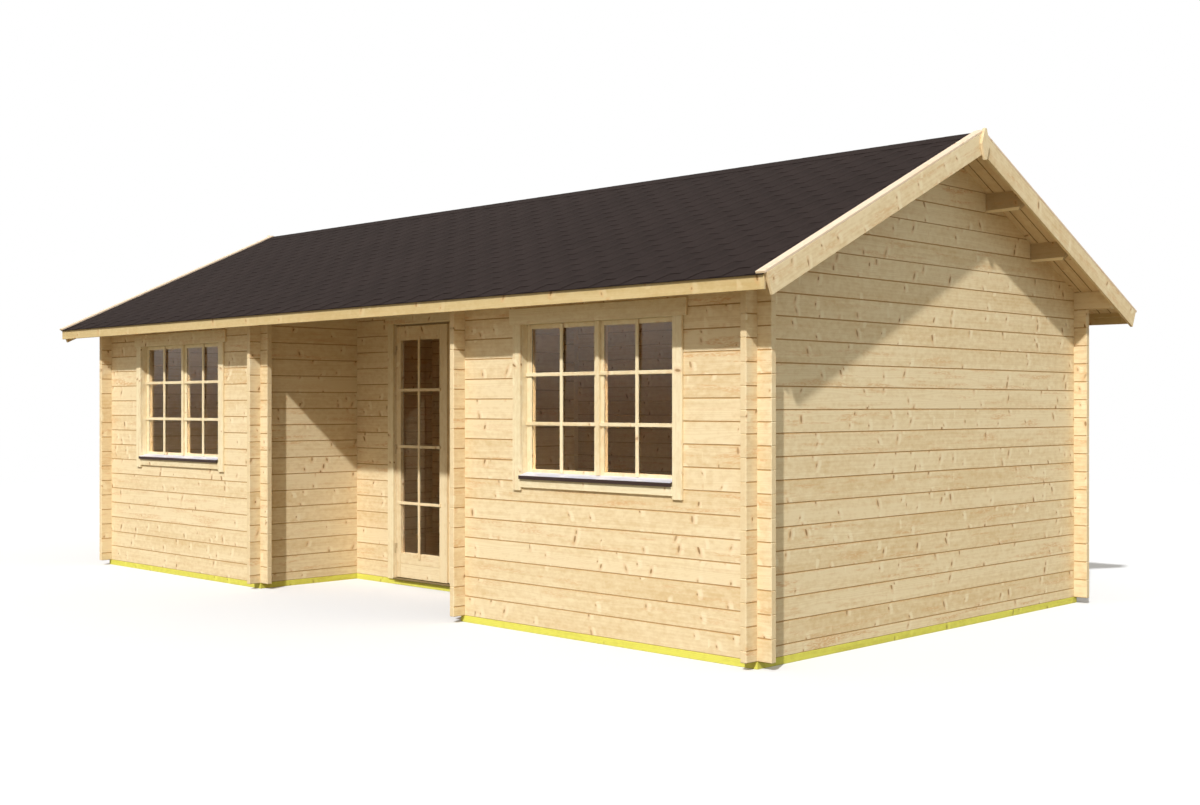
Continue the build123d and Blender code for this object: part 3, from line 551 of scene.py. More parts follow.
class Stock:
    """A bundle of closed timber pieces that becomes one object."""

    def __init__(self, name: str) -> None:
        """Starts an empty bundle whose randomness depends only on its name.

        Args:
            name: the object's name.
        """
        self.name = name
        self.random = random.Random(zlib.crc32(name.encode()))
        self.mesh = bmesh.new()

    def add_node(self, node: str) -> "Stock":
        """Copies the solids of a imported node, with their flat sides whole.

        Args:
            node: the node's name.

        Returns:
            The bundle itself.
        """
        self.mesh.from_mesh(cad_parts[node].data)
        bmesh.ops.remove_doubles(self.mesh, verts=self.mesh.verts, dist=MERGE)
        self._join_flats()
        return self

    def _join_flats(self) -> None:
        """Makes one face of each flat side."""
        bmesh.ops.dissolve_limit(
            self.mesh, angle_limit=FLAT, verts=self.mesh.verts, edges=self.mesh.edges, delimit=set()
        )

    def add_prism(self, outline: Sequence[Vector], push: Vector) -> None:
        """Adds an outline pushed along a direction.

        Args:
            outline: its corners in order.
            push: how far and which way.
        """
        lower = [self.mesh.verts.new(point) for point in outline]
        upper = [self.mesh.verts.new(point + push) for point in outline]
        bmesh.ops.recalc_face_normals(self.mesh, faces=self.close(lower, upper))

    def close(
        self, lower: Sequence[bmesh.types.BMVert], upper: Sequence[bmesh.types.BMVert]
    ) -> list[bmesh.types.BMFace]:
        """Joins two matching outlines into a closed piece.

        Args:
            lower: the corners of one, in order.
            upper: the corners of the other.

        Returns:
            The piece's faces.
        """
        faces = [self.mesh.faces.new(lower[::-1]), self.mesh.faces.new(upper)]
        for index, corner in enumerate(lower):
            after = (index + 1) % len(lower)
            faces.append(self.mesh.faces.new((corner, lower[after], upper[after], upper[index])))
        return faces

    def add_bar(self, low: Sequence[float], high: Sequence[float]) -> None:
        """Adds a block between two corners.

        Args:
            low: its lowest corner.
            high: its highest corner.
        """
        x0, y0, z0 = low
        x1, y1, z1 = high
        outline = [Vector((x0, y0, z0)), Vector((x1, y0, z0)), Vector((x1, y1, z0)), Vector((x0, y1, z0))]
        self.add_prism(outline, Vector((0, 0, z1 - z0)))

    def pieces(self) -> Iterator[list[bmesh.types.BMVert]]:
        """The corners of each separate piece.

        Yields:
            One list for each piece.
        """
        left = dict.fromkeys(self.mesh.verts)
        while left:
            piece = [left.popitem()[0]]
            for corner in piece:
                for edge in corner.link_edges:
                    other = edge.other_vert(corner)
                    if other in left:
                        del left[other]
                        piece.append(other)
            yield piece

    def boxes(self) -> list[Box]:
        """Finds the lowest and highest corner of each piece.

        Returns:
            The boxes, from left to right.
        """
        found = []
        for piece in self.pieces():
            points = [corner.co for corner in piece]
            low = Vector(min(point[i] for point in points) for i in range(3))
            high = Vector(max(point[i] for point in points) for i in range(3))
            found.append((low, high))
        return sorted(found, key=lambda box: box[0].x)

    def split(self, axis: int, cuts: Sequence[float], longest: float = math.inf) -> "Stock":
        """Saws pieces through, square to an axis.

        Args:
            axis: 0, 1 or 2.
            cuts: where the saw passes.
            longest: pieces that reach further than this along the axis stay whole.

        Returns:
            The bundle itself.
        """
        normal = Vector(float(axis == i) for i in range(3))
        for piece in list(self.pieces()):
            reach = [corner.co[axis] for corner in piece]
            low, high = min(reach), max(reach)
            inner = sorted(self._snapped(cut, reach) for cut in cuts if low + SNAP < cut < high - SNAP)
            if not inner or high - low > longest:
                continue
            edges = dict.fromkeys(edge for corner in piece for edge in corner.link_edges)
            faces = dict.fromkeys(face for corner in piece for face in corner.link_faces)
            geometry = [*piece, *edges, *faces]
            for start, end in zip([low - 1.0, *inner], [*inner, high + 1.0]):
                part = bmesh.ops.duplicate(self.mesh, geom=geometry)["geom"]
                part = self._saw(part, normal, end - JOINT / 2)
                self._saw(part, -normal, -start - JOINT / 2)
            bmesh.ops.delete(self.mesh, geom=piece, context="VERTS")
        self._join_flats()
        return self

    @staticmethod
    def _snapped(cut: float, reach: Sequence[float]) -> float:
        """A cut moved so that one side of its joint runs through a corner close by."""
        corner = min(reach, key=lambda place: abs(place - cut))
        return corner + math.copysign(JOINT / 2, cut - corner) if abs(corner - cut) < SNAP else cut

    def _saw(self, part: list[Element], normal: Vector, reach: float) -> list[Element]:
        """Cuts a part off beyond a plane and closes it.

        Args:
            part: its corners, edges and faces.
            normal: which way the plane faces.
            reach: how far the plane is along the normal.

        Returns:
            What is left.
        """
        cut = bmesh.ops.bisect_plane(
            self.mesh, geom=part, dist=MERGE / 2, plane_co=normal * reach, plane_no=normal, clear_outer=True
        )
        edges = [item for item in cut["geom_cut"] if isinstance(item, bmesh.types.BMEdge)]
        caps = bmesh.ops.holes_fill(self.mesh, edges=edges, sides=0)["faces"]
        return [item for item in cut["geom"] if item.is_valid] + caps

    @staticmethod
    def axes(piece: Sequence[bmesh.types.BMVert], grain: Grain) -> tuple[Vector, Vector, Vector]:
        """A piece's own directions.

        Args:
            piece: its corners.
            grain: how its fibres run.

        Returns:
            Along the fibres, across the face and through the thickness.
        """
        if grain in AXES:
            along = AXES[grain]
        elif grain is Grain.LONGEST_SIDE:
            spans = [max(v.co[i] for v in piece) - min(v.co[i] for v in piece) for i in range(3)]
            along = list(AXES.values())[spans.index(max(spans))]
        else:
            edge = max((e for v in piece for e in v.link_edges), key=lambda e: e.calc_length())
            along = (edge.verts[1].co - edge.verts[0].co).normalized()
        helper = Vector((1, 0, 0)) if abs(along.z) > abs(along.x) else Vector((0, 0, 1))
        across = (helper - along * helper.dot(along)).normalized()
        return along, across, along.cross(across)

    def ease(self, width: float, easing: Easing, grain: Grain) -> "Stock":
        """Takes the sharp outer edges off.

        Args:
            width: how much is taken off.
            easing: which edges.
            grain: how the fibres run.

        Returns:
            The bundle itself.
        """
        for piece in list(self.pieces()):
            along = self.axes(piece, grain)[0]
            reach = [corner.co.dot(along) for corner in piece]
            ends = (min(reach), max(reach))
            edges = dict.fromkeys(edge for corner in piece for edge in corner.link_edges)
            bmesh.ops.bevel(
                self.mesh,
                geom=[
                    edge
                    for edge in edges
                    if edge.is_convex and (easing is Easing.ALL or self._is_long(edge, along, ends))
                ],
                offset=width,
                offset_type="OFFSET",
                segments=1,
                profile=0.5,
                affect="EDGES",
                clamp_overlap=True,
            )
        bmesh.ops.dissolve_degenerate(self.mesh, dist=SHORTEST, edges=self.mesh.edges)
        return self

    @staticmethod
    def _is_long(edge: bmesh.types.BMEdge, along: Vector, ends: Point) -> bool:
        """Tells whether an edge runs with the fibres or frames an end.

        Args:
            edge: the edge.
            along: the way of the fibres.
            ends: where the piece starts and ends along them.

        Returns:
            True if it does.
        """
        first, second = (vertex.co for vertex in edge.verts)
        if abs((second - first).normalized().dot(along)) > SQUARE:
            return True
        return any(max(abs(point.dot(along) - end) for point in (first, second)) < MERGE for end in ends)

    def mark(self, grain: Grain, knots: float = 1.0, joints: float = 0.0, wear_and_highlight: float = 0.0) -> "Stock":
        """Writes each piece's grain, its own tone and its joint faces, with painted shade on the joint
        chamfers.

        Args:
            grain: how the fibres run.
            knots: how knotty the bundle is.
            joints: how dark the painted shade on the chamfers beside its joints is.
            wear_and_highlight: how much of the ends' tone its chamfers have; on the purlins that is a painted
                highlight.

        Returns:
            The bundle itself.
        """
        grains = self.mesh.verts.layers.float_vector.new("grain")
        boards = self.mesh.verts.layers.float_vector.new("board")
        cuts = self.mesh.faces.layers.float_vector.new("cut")
        self.mesh.normal_update()
        for piece in self.pieces():
            along, across, through = self.axes(piece, grain)
            centre = sum((corner.co for corner in piece), Vector()) / len(piece)
            shift = Vector(
                (
                    self.random.uniform(3.0, 60.0),
                    self.random.uniform(-0.07, 0.07),
                    self.random.choice((-1, 1)) * self.random.uniform(0.03, 0.11),
                )
            )
            board = Vector((self.random.random(), self.random.random(), self.random.uniform(0.4, 1.6) * knots))
            for corner in piece:
                offset = corner.co - centre
                corner[grains] = shift + Vector((offset.dot(along), offset.dot(across), offset.dot(through)))
                corner[boards] = board
            for face in dict.fromkeys(face for corner in piece for face in corner.link_faces):
                forward, sideways, outward = (abs(face.normal.dot(way)) for way in (along, across, through))
                is_chamfer = SLANT[0] < sideways < SLANT[1] and forward < LEVEL
                is_end = forward > SQUARE
                is_turned = sideways > outward
                # x is the painted shade on joint chamfers, y the end tone with any painted highlight on
                # chamfers, z whether the face is turned.
                face[cuts] = Vector((is_chamfer * joints, is_end + is_chamfer * wear_and_highlight, float(is_turned)))
        return self

    def place(
        self, finish: bpy.types.Material, slot: str, body: str = CABIN, stands_for: Sequence[str] = ()
    ) -> None:
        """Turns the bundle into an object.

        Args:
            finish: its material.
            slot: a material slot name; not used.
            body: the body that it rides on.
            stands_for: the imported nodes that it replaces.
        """
        data = bpy.data.meshes.new(self.name)
        self.mesh.to_mesh(data)
        self.mesh.free()
        data.materials.append(finish)
        made = bpy.data.objects.new(self.name, data)
        bpy.context.scene.collection.objects.link(made)
        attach(made, body)
        if stands_for:
            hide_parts(*stands_for)
        LOG.info("%s: %d faces", self.name, len(data.polygons))


# Sub-assemblies


@dataclass
class LogWork:
    """The walls, eave logs and purlins."""

    finish: bpy.types.Material
    purlin_finish: bpy.types.Material
    chamfer: float = 0.0038
    long_walls: tuple[str, ...] = (
        "front_wall_left",
        "front_wall_right",
        "rear_wall",
        "porch_back_wall_left",
        "porch_back_wall_right",
        "porch_back_wall_top",
        "front_eave_log",
        "rear_eave_log",
    )
    cross_walls: tuple[str, ...] = (
        "left_gable_wall",
        "right_gable_wall",
        "porch_left_wall",
        "porch_right_wall",
    )
    purlins: tuple[str, ...] = ("ridge_purlin", "upper_purlins", "lower_purlins")

    def build(self) -> None:
        """Cuts the joint chamfers into every log."""
        for node in self.long_walls:
            self._stack(node, Grain.ALONG_X)
        for node in self.cross_walls:
            self._stack(node, Grain.ALONG_Y)
        for node in self.purlins:
            # The purlins' chamfers take their bright end tone as a painted highlight of light from below.
            stock = self._eased(node, Grain.ALONG_X).mark(Grain.ALONG_X, wear_and_highlight=1.4)
            stock.place(self.purlin_finish, "log", stands_for=(node,))

    def _eased(self, node: str, grain: Grain) -> Stock:
        """One node's logs without their sharp edges."""
        return Stock(f"{node}_logs").add_node(node).ease(self.chamfer, Easing.LONG, grain)

    def _stack(self, node: str, grain: Grain) -> None:
        """Makes one wall's logs, with painted shade on the chamfers at their joints."""
        self._eased(node, grain).mark(grain, joints=1.0).place(self.finish, "log", stands_for=(node,))


@dataclass
class Trim:
    """Boards on the roof's edges and round the openings, and the beams below the walls."""

    casing: bpy.types.Material
    board: bpy.types.Material
    cap: bpy.types.Material
    edge: bpy.types.Material
    beam: bpy.types.Material
    sill: bpy.types.Material
    easing: float = 0.002
    casings: tuple[str, ...] = ("window_casings", "door_casing")
    eaves: tuple[str, ...] = ("fascia_front", "fascia_rear", "eave_laths")
    sloping: tuple[str, ...] = ("left_barge_boards", "right_barge_boards", "peak_plates")
    beams: tuple[str, ...] = ("foundation_beams", "floor_joists")

    def build(self) -> None:
        """Makes every board and beam."""
        for node in self.casings:
            self._dress(node, Grain.LONGEST_SIDE, self.casing, "joinery")
        for node in self.eaves:
            self._dress(node, Grain.LONGEST_SIDE, self.edge, "joinery")
        for node in self.sloping:
            self._dress(node, Grain.LONGEST_EDGE, self.board, "joinery")
        self._dress("barge_caps", Grain.LONGEST_EDGE, self.cap, "joinery")
        for node in self.beams:
            self._dress(node, Grain.LONGEST_SIDE, self.beam, "treated_beam")
        self._dress("door_threshold", Grain.LONGEST_SIDE, self.sill, "threshold")

    def _dress(self, node: str, grain: Grain, finish: bpy.types.Material, slot: str) -> None:
        """Makes one node's boards."""
        stock = Stock(f"{node}_wood").add_node(node).ease(self.easing, Easing.ALL, grain).mark(grain, 0.9)
        stock.place(finish, slot, stands_for=(node,))


def part_boxes(node: str) -> list[Box]:
    """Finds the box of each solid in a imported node.

    Args:
        node: the node's name.

    Returns:
        The boxes, from left to right.
    """
    stock = Stock(node).add_node(node)
    found = stock.boxes()
    stock.mesh.free()
    return found


@dataclass
class Bars:
    """Applied glazing bars in front of one pane."""

    stock: Stock
    width: float = 0.024
    thickness: float = 0.012

    def build(self, face: float, middle: float, x: Point, z: Point, levels: Sequence[float]) -> None:
        """Adds one upright and the crossing bars in short lengths.

        Args:
            face: the sash's face, against which the bars lie.
            middle: the upright's middle.
            x: where the crossing bars start and end.
            z: where the upright starts and ends.
            levels: the middles of the crossing bars.
        """
        y = (face - self.thickness, face - JOINT / 2)
        left, right = middle - self.width / 2, middle + self.width / 2
        self.stock.add_bar((left, y[0], z[0]), (right, y[1], z[1]))
        for level in levels:
            low, high = level - self.width / 2, level + self.width / 2
            self.stock.add_bar((x[0], y[0], low), (left - JOINT / 2, y[1], high))
            self.stock.add_bar((right + JOINT / 2, y[0], low), (x[1], y[1], high))


@dataclass
class Windows:
    """Both double windows: frames, sashes, glazing bars, glass and sills."""

    wood: bpy.types.Material
    glass: bpy.types.Material
    sill: bpy.types.Material
    easing: float = 0.002
    inset: float = 0.001
    middle_row: float = 0.35
    bar_head: float = 0.004

    def build(self) -> None:
        """Makes all of it."""
        boxes = part_boxes("window_sashes")
        widest = max(high.x - low.x for low, high in boxes)
        sashes = [box for box in boxes if box[1].x - box[0].x > widest / 2]
        strips = [box for box in boxes if box not in sashes]
        panes = part_boxes("window_panes")
        sash_cuts = [x for low, high in panes for x in (low.x + self.inset, high.x - self.inset)]
        frame_cuts = [x for low, high in sashes for x in (low.x + self.inset, high.x - self.inset)]
        self._dress("window_sashes", sash_cuts)
        self._dress("window_frames", frame_cuts)
        self._add_bars(sashes, strips, panes)
        use("window_panes", self.glass)
        use("window_sills", self.sill)

    def _dress(self, node: str, cuts: Sequence[float]) -> None:
        """Makes stiles and rails from one node.

        Args:
            node: the node's name.
            cuts: where the stiles end.
        """
        stock = Stock(f"{node}_wood").add_node(node).split(0, cuts)
        stock.ease(self.easing, Easing.ALL, Grain.LONGEST_SIDE).mark(Grain.LONGEST_SIDE, 0.5)
        stock.place(self.wood, "joinery", stands_for=(node,))

    def _add_bars(self, sashes: Sequence[Box], strips: Sequence[Box], panes: Sequence[Box]) -> None:
        """Lays the bars on the sashes.

        Args:
            sashes: their boxes.
            strips: the boxes of the cover strips, which the bars stop at.
            panes: the boxes of their panes.
        """
        stock = Stock("window_bars")
        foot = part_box("window_sills")[1].z + JOINT
        for (low, high), (pane_low, pane_high) in zip(sashes, panes):
            left, right = low.x, high.x
            for strip_low, strip_high in strips:
                if strip_low.x < left < strip_high.x:
                    left = strip_high.x + JOINT
                if strip_low.x < right < strip_high.x:
                    right = strip_low.x - JOINT
            centre = (pane_low + pane_high) / 2
            step = (pane_high.z - pane_low.z) * self.middle_row / 2
            ends = (foot, high.z - self.bar_head)
            Bars(stock).build(low.y, centre.x, (left, right), ends, (centre.z - step, centre.z + step))
        stock.ease(self.easing, Easing.ALL, Grain.LONGEST_SIDE).mark(Grain.LONGEST_SIDE, 0.3)
        stock.place(self.wood, "joinery")


@dataclass
class Doors:
    """The double door: frame, leaves, glazing bars, glass and hinges."""

    wood: bpy.types.Material
    glass: bpy.types.Material
    hinge: bpy.types.Material
    easing: float = 0.002
    inset: float = 0.001
    stop: float = 0.015
    rail_joint: float = 0.115
    bar_rows: float = 0.266
    bar_foot: float = 0.045
    bar_head: float = 0.030
    bar_side: float = 0.018

    def build(self) -> None:
        """Makes all of it."""
        low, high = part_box("door_threshold")
        cuts = (low.x + self.stop, high.x - self.stop)
        stock = Stock("door_frame_wood").add_node("door_frame").split(0, cuts)
        stock.ease(self.easing, Easing.ALL, Grain.LONGEST_SIDE).mark(Grain.LONGEST_SIDE, 0.5)
        stock.place(self.wood, "joinery", stands_for=("door_frame",))
        for body in ("door_left_leaf", "door_right_leaf"):
            self._leaf(body)
        for node in ("door_frame_hinges", "door_left_hinges", "door_right_hinges"):
            use(node, self.hinge)

    def _leaf(self, body: str) -> None:
        """Makes one leaf, which carries its bars.

        Args:
            body: the leaf's name, which its node also has.
        """
        side = body.removesuffix("_leaf")
        low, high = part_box(f"{side}_pane")
        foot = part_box(body)[0]
        stock = Stock(f"{body}_wood").add_node(body)
        stock.split(0, (low.x + self.inset, high.x - self.inset))
        stock.split(2, (foot.z + self.rail_joint,), longest=low.z - foot.z + self.inset)
        stock.ease(self.easing, Easing.ALL, Grain.LONGEST_SIDE).mark(Grain.LONGEST_SIDE, 0.5, 0.3)
        stock.place(self.wood, "joinery", body, (body,))
        use(f"{side}_pane", self.glass)

        stock = Stock(f"{side}_bars")
        centre = (low + high) / 2
        step = (high.z - low.z) * self.bar_rows
        levels = (centre.z - step, centre.z, centre.z + step)
        across = (low.x - self.bar_side, high.x + self.bar_side)
        upright = (low.z - self.bar_foot, high.z + self.bar_head)
        Bars(stock).build(foot.y, centre.x, across, upright, levels)
        stock.ease(self.easing, Easing.ALL, Grain.LONGEST_SIDE).mark(Grain.LONGEST_SIDE, 0.3)
        stock.place(self.wood, "joinery", body)


@dataclass
class Boarding:
    """The roof boards and the floor boards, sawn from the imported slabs."""

    roof: bpy.types.Material
    floor: bpy.types.Material
    roof_width: float = 0.08664
    floor_width: float = 0.112
    easing: float = 0.0045

    def build(self) -> None:
        """Makes both."""
        for node in ("roof_boards_front", "roof_boards_rear"):
            self._saw(node, 0, self.roof_width, Grain.LONGEST_EDGE, self.roof, "roof_board")
        self._saw("floor_deck", 1, self.floor_width, Grain.ALONG_X, self.floor, "floor_wood")

    def _saw(
        self, node: str, axis: int, width: float, grain: Grain, finish: bpy.types.Material, slot: str
    ) -> None:
        """Makes one slab's boards.

        Args:
            node: the slab's name.
            axis: the axis that the saw cuts are square to.
            width: from cut to cut.
            grain: how the fibres run.
            finish: the material.
            slot: a material slot name; not used.
        """
        low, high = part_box(node)
        middle = (low[axis] + high[axis]) / 2
        count = math.floor((high[axis] - middle) / width)
        cuts = [middle + index * width for index in range(-count, count + 1)]
        stock = Stock(f"{node}_sawn").add_node(node).split(axis, cuts)
        stock.ease(self.easing, Easing.LONG, grain).mark(grain, 1.0, 1.0)
        stock.place(finish, slot, stands_for=(node,))


def clipped(outline: Sequence[Point], axis: int, limit: float, sign: int) -> list[Point]:
    """An outline without what lies past a limit.

    Args:
        outline: its points in order.
        axis: 0 or 1.
        limit: the limit on that axis.
        sign: 1 keeps what is below the limit and -1 what is above.

    Returns:
        The points that are left, with those on the limit.
    """
    kept = []
    for (x0, y0), (x1, y1) in zip(outline, [*outline[1:], *outline[:1]]):
        first = sign * (limit - (x0, y0)[axis])
        second = sign * (limit - (x1, y1)[axis])
        if first >= 0:
            kept.append((x0, y0))
        if first * second < 0:
            share = first / (first - second)
            kept.append((x0 + (x1 - x0) * share, y0 + (y1 - y0) * share))
    return kept


@dataclass
class Shingles:
    """Rows of six-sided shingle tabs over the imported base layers, and the ridge caps."""

    finish: bpy.types.Material
    pitch: float = 0.255
    exposure: float = 0.1205
    hidden: float = 0.020
    thickness: float = 0.0012
    lifted: float = 0.0034
    lying: float = 0.0013
    seam: float = 0.0002
    cap_reach: float = 0.125
    cap_pitch: float = 0.145
    cap_length: float = 0.250
    gap: float = 0.001
    end: float = field(init=False)

    def build(self) -> None:
        """Makes both slopes and the ridge."""
        caps = part_boxes("barge_caps")
        self.end = -max(high.x for _, high in caps if high.x < 0.0) - self.gap
        for side, sign in (("front", -1.0), ("rear", 1.0)):
            self._slope(side, sign)
            use(f"shingles_{side}", self.finish)
        self._ridge()

    def _frame(self, side: str) -> tuple[Vector, Vector]:
        """Finds the top of one slope's base layer.

        Args:
            side: "front" or "rear".

        Returns:
            The eave corner and the apex, both at the middle of the length.
        """
        points = [vertex.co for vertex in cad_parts[f"shingles_{side}"].data.vertices]
        apex = max(points, key=lambda point: point.z)
        reach = max(abs(point.y) for point in points)
        eave = max((p for p in points if abs(p.y) > reach / 2), key=lambda point: point.z)
        return Vector((0.0, eave.y, eave.z)), Vector((0.0, apex.y, apex.z))

    def _slope(self, side: str, sign: float) -> None:
        """Lays the tabs of one slope.

        Args:
            side: "front" or "rear".
            sign: which way it faces along Y.
        """
        stock = Stock(f"shingle_tabs_{side}")
        tones = stock.mesh.verts.layers.float_vector.new("tab")
        eave, apex = self._frame(side)
        length = (apex - eave).length
        up = (apex - eave).normalized()
        out = Vector((0.0, sign * up.z, abs(up.y)))
        row = 0
        while row * self.exposure < length - self.exposure / 2:
            start = row * self.exposure
            centre = -self.end - self.pitch + (row % 2) * self.pitch / 2
            while centre - self.pitch / 2 < self.end:
                outline = self._tab(centre, start)
                for axis, limit, keep in ((0, self.end, 1), (0, -self.end, -1), (1, length - self.seam, 1)):
                    outline = clipped(outline, axis, limit, keep)
                if len(outline) > 2:
                    self._add(stock, tones, outline, (centre, start), (eave, up, out))
                centre += self.pitch
            row += 1
        bmesh.ops.recalc_face_normals(stock.mesh, faces=stock.mesh.faces)
        stock.place(self.finish, "shingle")

    def _tab(self, centre: float, start: float) -> list[Point]:
        """Draws one tab with its share of the strip above it.

        Args:
            centre: the tab's middle along the ridge.
            start: its foot, measured up the slope.

        Returns:
            The points in order.
        """
        foot = self.pitch / 6
        shoulder = self.pitch / 3
        edge = self.pitch / 2 - self.seam
        level = start + self.exposure
        top = start + 2 * self.exposure + self.hidden
        half = [(foot, start), (shoulder, level), (edge, level), (edge, top)]
        right = [(centre + x, s) for x, s in half]
        return right + [(centre - x, s) for x, s in reversed(half)]

    def _add(
        self,
        stock: Stock,
        tones: bmesh.types.BMLayerItem,
        outline: Sequence[Point],
        place: Point,
        slope: tuple[Vector, Vector, Vector],
    ) -> None:
        """Adds one tab as a thin closed piece that leans on the row below.

        Args:
            stock: the bundle that it joins.
            tones: the layer for its tone and for each corner's place in the tab.
            outline: its points in order.
            place: its middle and its foot.
            slope: the eave corner, the way up and the way out.
        """
        eave, up, out = slope
        centre, start = place
        tone = stock.random.random()
        reach = 2 * self.exposure + self.hidden
        layers = []
        for drop in (self.thickness, 0.0):
            corners = []
            for x, s in outline:
                share = (s - start) / reach
                lift = self.lifted + (self.lying - self.lifted) * share - drop
                corner = stock.mesh.verts.new(eave + up * s + out * lift + Vector((x, 0.0, 0.0)))
                corner[tones] = Vector((tone, (s - start) / self.exposure, 2 * (x - centre) / self.pitch))
                corners.append(corner)
            layers.append(corners)
        stock.close(*layers)

    def _ridge(self) -> None:
        """Lays folded caps along the ridge."""
        stock = Stock("ridge_caps")
        tones = stock.mesh.verts.layers.float_vector.new("tab")
        eave, apex = self._frame("front")
        up = (apex - eave).normalized()
        fall = Vector((0.0, -up.y, -up.z)) * self.cap_reach
        peak = Vector((0.0, 0.0, apex.z + self.lifted + self.gap))
        x = -self.end
        while x < self.end - self.cap_pitch:
            end = min(x + self.cap_length, self.end)
            rings = []
            for place, lift in ((x, self.thickness), (end, 0.0)):
                ring = []
                for drop in (0.0, self.thickness):
                    spine = peak + Vector((place, 0.0, lift - drop))
                    sides = (spine + fall, spine, spine + Vector((0.0, -fall.y, fall.z)))
                    ring += sides if drop == 0.0 else sides[::-1]
                rings.append([stock.mesh.verts.new(point) for point in ring])
            tone = stock.random.random()
            for corner in rings[0] + rings[1]:
                corner[tones] = Vector((tone, 0.0, 0.0))
            stock.close(*rings)
            x += self.cap_pitch
        bmesh.ops.recalc_face_normals(stock.mesh, faces=stock.mesh.faces)
        stock.place(self.finish, "shingle")


def use(node: str, finish: bpy.types.Material) -> None:
    """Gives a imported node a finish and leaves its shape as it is.

    Args:
        node: the node's name.
        finish: the material.
    """
    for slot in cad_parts[node].material_slots:
        slot.material = finish
    LOG.info("%s: finish %s", node, finish.name)


@dataclass
class Studio:
    """The floor, the light and the camera."""

    eye: Vector
    turn: float
    lens: float
    rise: float
    sun_turn: float = 26.0
    sun_height: float = 39.7
    sun_power: float = 3.45
    sun_spread: float = 1.6
    sun_colour: Colour = (0.98, 0.99, 0.965)
    sky_power: float = 0.55
    sky_left: Colour = (1.0, 0.95, 0.85)
    sky_right: Colour = (1.13, 1.28, 1.28)
    mirrored_sky: Colour = (1.0, 0.98, 0.95)
    mirrored_skyline: Colour = (0.36, 0.31, 0.25)
    skyline: float = 0.06
    floor_colour: Colour = (0.86, 0.865, 0.905)
    floor_bounce: Colour = (0.28, 0.25, 0.19)
    floor_fade: Point = (7.0, 20.0)
    floor_size: float = 90.0
    floor_sides: int = 96

    def build(self) -> None:
        """Makes all of it."""
        self._floor()
        self._light()
        self._sky()
        self._camera()

    def _floor(self) -> None:
        """A plain pale floor that fades out to white far from the cabin."""
        recipe = Recipe("studio_floor")
        place = recipe.node("ShaderNodeTexCoord", output="Object")
        far = recipe.node("ShaderNodeVectorMath", {"operation": "LENGTH"}, {0: place}, "Value")
        pale = recipe.node("ShaderNodeBsdfDiffuse", sockets={"Color": self.floor_colour})
        dull = recipe.node("ShaderNodeBsdfDiffuse", sockets={"Color": self.floor_bounce})
        white = recipe.node("ShaderNodeEmission", sockets={"Color": WHITE, "Strength": 1.0})
        seen = recipe.node("ShaderNodeLightPath", output="Is Camera Ray")
        share = recipe.fade(far, *self.floor_fade)
        shown = recipe.node("ShaderNodeMixShader", sockets={0: share, 1: pale, 2: white})
        finish = recipe.done(recipe.node("ShaderNodeMixShader", sockets={0: seen, 1: dull, 2: shown}))
        mesh = bmesh.new()
        bmesh.ops.create_circle(mesh, cap_ends=True, radius=self.floor_size, segments=self.floor_sides)
        data = bpy.data.meshes.new("studio_floor")
        mesh.to_mesh(data)
        mesh.free()
        data.materials.append(finish)
        floor = bpy.data.objects.new("studio_floor", data)
        bpy.context.scene.collection.objects.link(floor)
        floor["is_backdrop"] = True

    def _light(self) -> None:
        """A soft key light from the front right."""
        data = bpy.data.lights.new("key_light", "SUN")
        data.energy = self.sun_power
        data.color = self.sun_colour
        data.angle = math.radians(self.sun_spread)
        key = bpy.data.objects.new("key_light", data)
        turn, height = math.radians(self.sun_turn), math.radians(self.sun_height)
        toward = Vector(
            (math.sin(turn) * math.cos(height), -math.cos(turn) * math.cos(height), math.sin(height))
        )
        key.rotation_mode = "QUATERNION"
        key.rotation_quaternion = toward.to_track_quat("Z", "Y")
        bpy.context.scene.collection.objects.link(key)

    def _sky(self) -> None:
        """An even sky, cooler and brighter from the right, that glass mirrors above a dull skyline."""
        recipe = Recipe("studio_sky", Target.SKY)
        x, y, z = recipe.parts(recipe.node("ShaderNodeTexCoord", output="Generated"))
        side = recipe.fade(x + y * 0.4, 0.55, 0.95)
        even = recipe.blend(side, self.sky_left, self.sky_right)
        stops = ((0.0, self.mirrored_skyline), (self.skyline, self.mirrored_sky))
        mirrored = recipe.node("ShaderNodeValToRGB", {"stops": stops}, {0: z})
        light = recipe.node("ShaderNodeBackground", sockets={"Color": even, "Strength": self.sky_power})
        glossy = recipe.node("ShaderNodeBackground", sockets={"Color": mirrored, "Strength": 1.0})
        shown = recipe.node("ShaderNodeBackground", sockets={"Color": WHITE, "Strength": 1.0})
        ray = recipe.node("ShaderNodeLightPath", output="Is Glossy Ray")
        lit = recipe.node("ShaderNodeMixShader", sockets={0: ray, 1: light, 2: glossy})
        sky = recipe.node("ShaderNodeMixShader", sockets={0: ray.sibling("Is Camera Ray"), 1: lit, 2: shown})
        bpy.context.scene.world = recipe.done(sky)
        bpy.context.scene.view_settings.view_transform = "Standard"

    def _camera(self) -> None:
        """A level camera with a slight rise."""
        data = bpy.data.cameras.new("camera")
        data.lens = self.lens
        data.shift_y = self.rise
        camera = bpy.data.objects.new("camera", data)
        camera.location = self.eye
        camera.rotation_euler = (math.radians(90.0), 0.0, math.radians(self.turn))
        bpy.context.scene.collection.objects.link(camera)
        bpy.context.scene.camera = camera


def write_sizes() -> None:
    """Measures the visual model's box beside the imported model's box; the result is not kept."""
    boxes = {"cad": CAD_BOX, "visual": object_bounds()}
    {name: [list(corner) for corner in box] for name, box in boxes.items()}


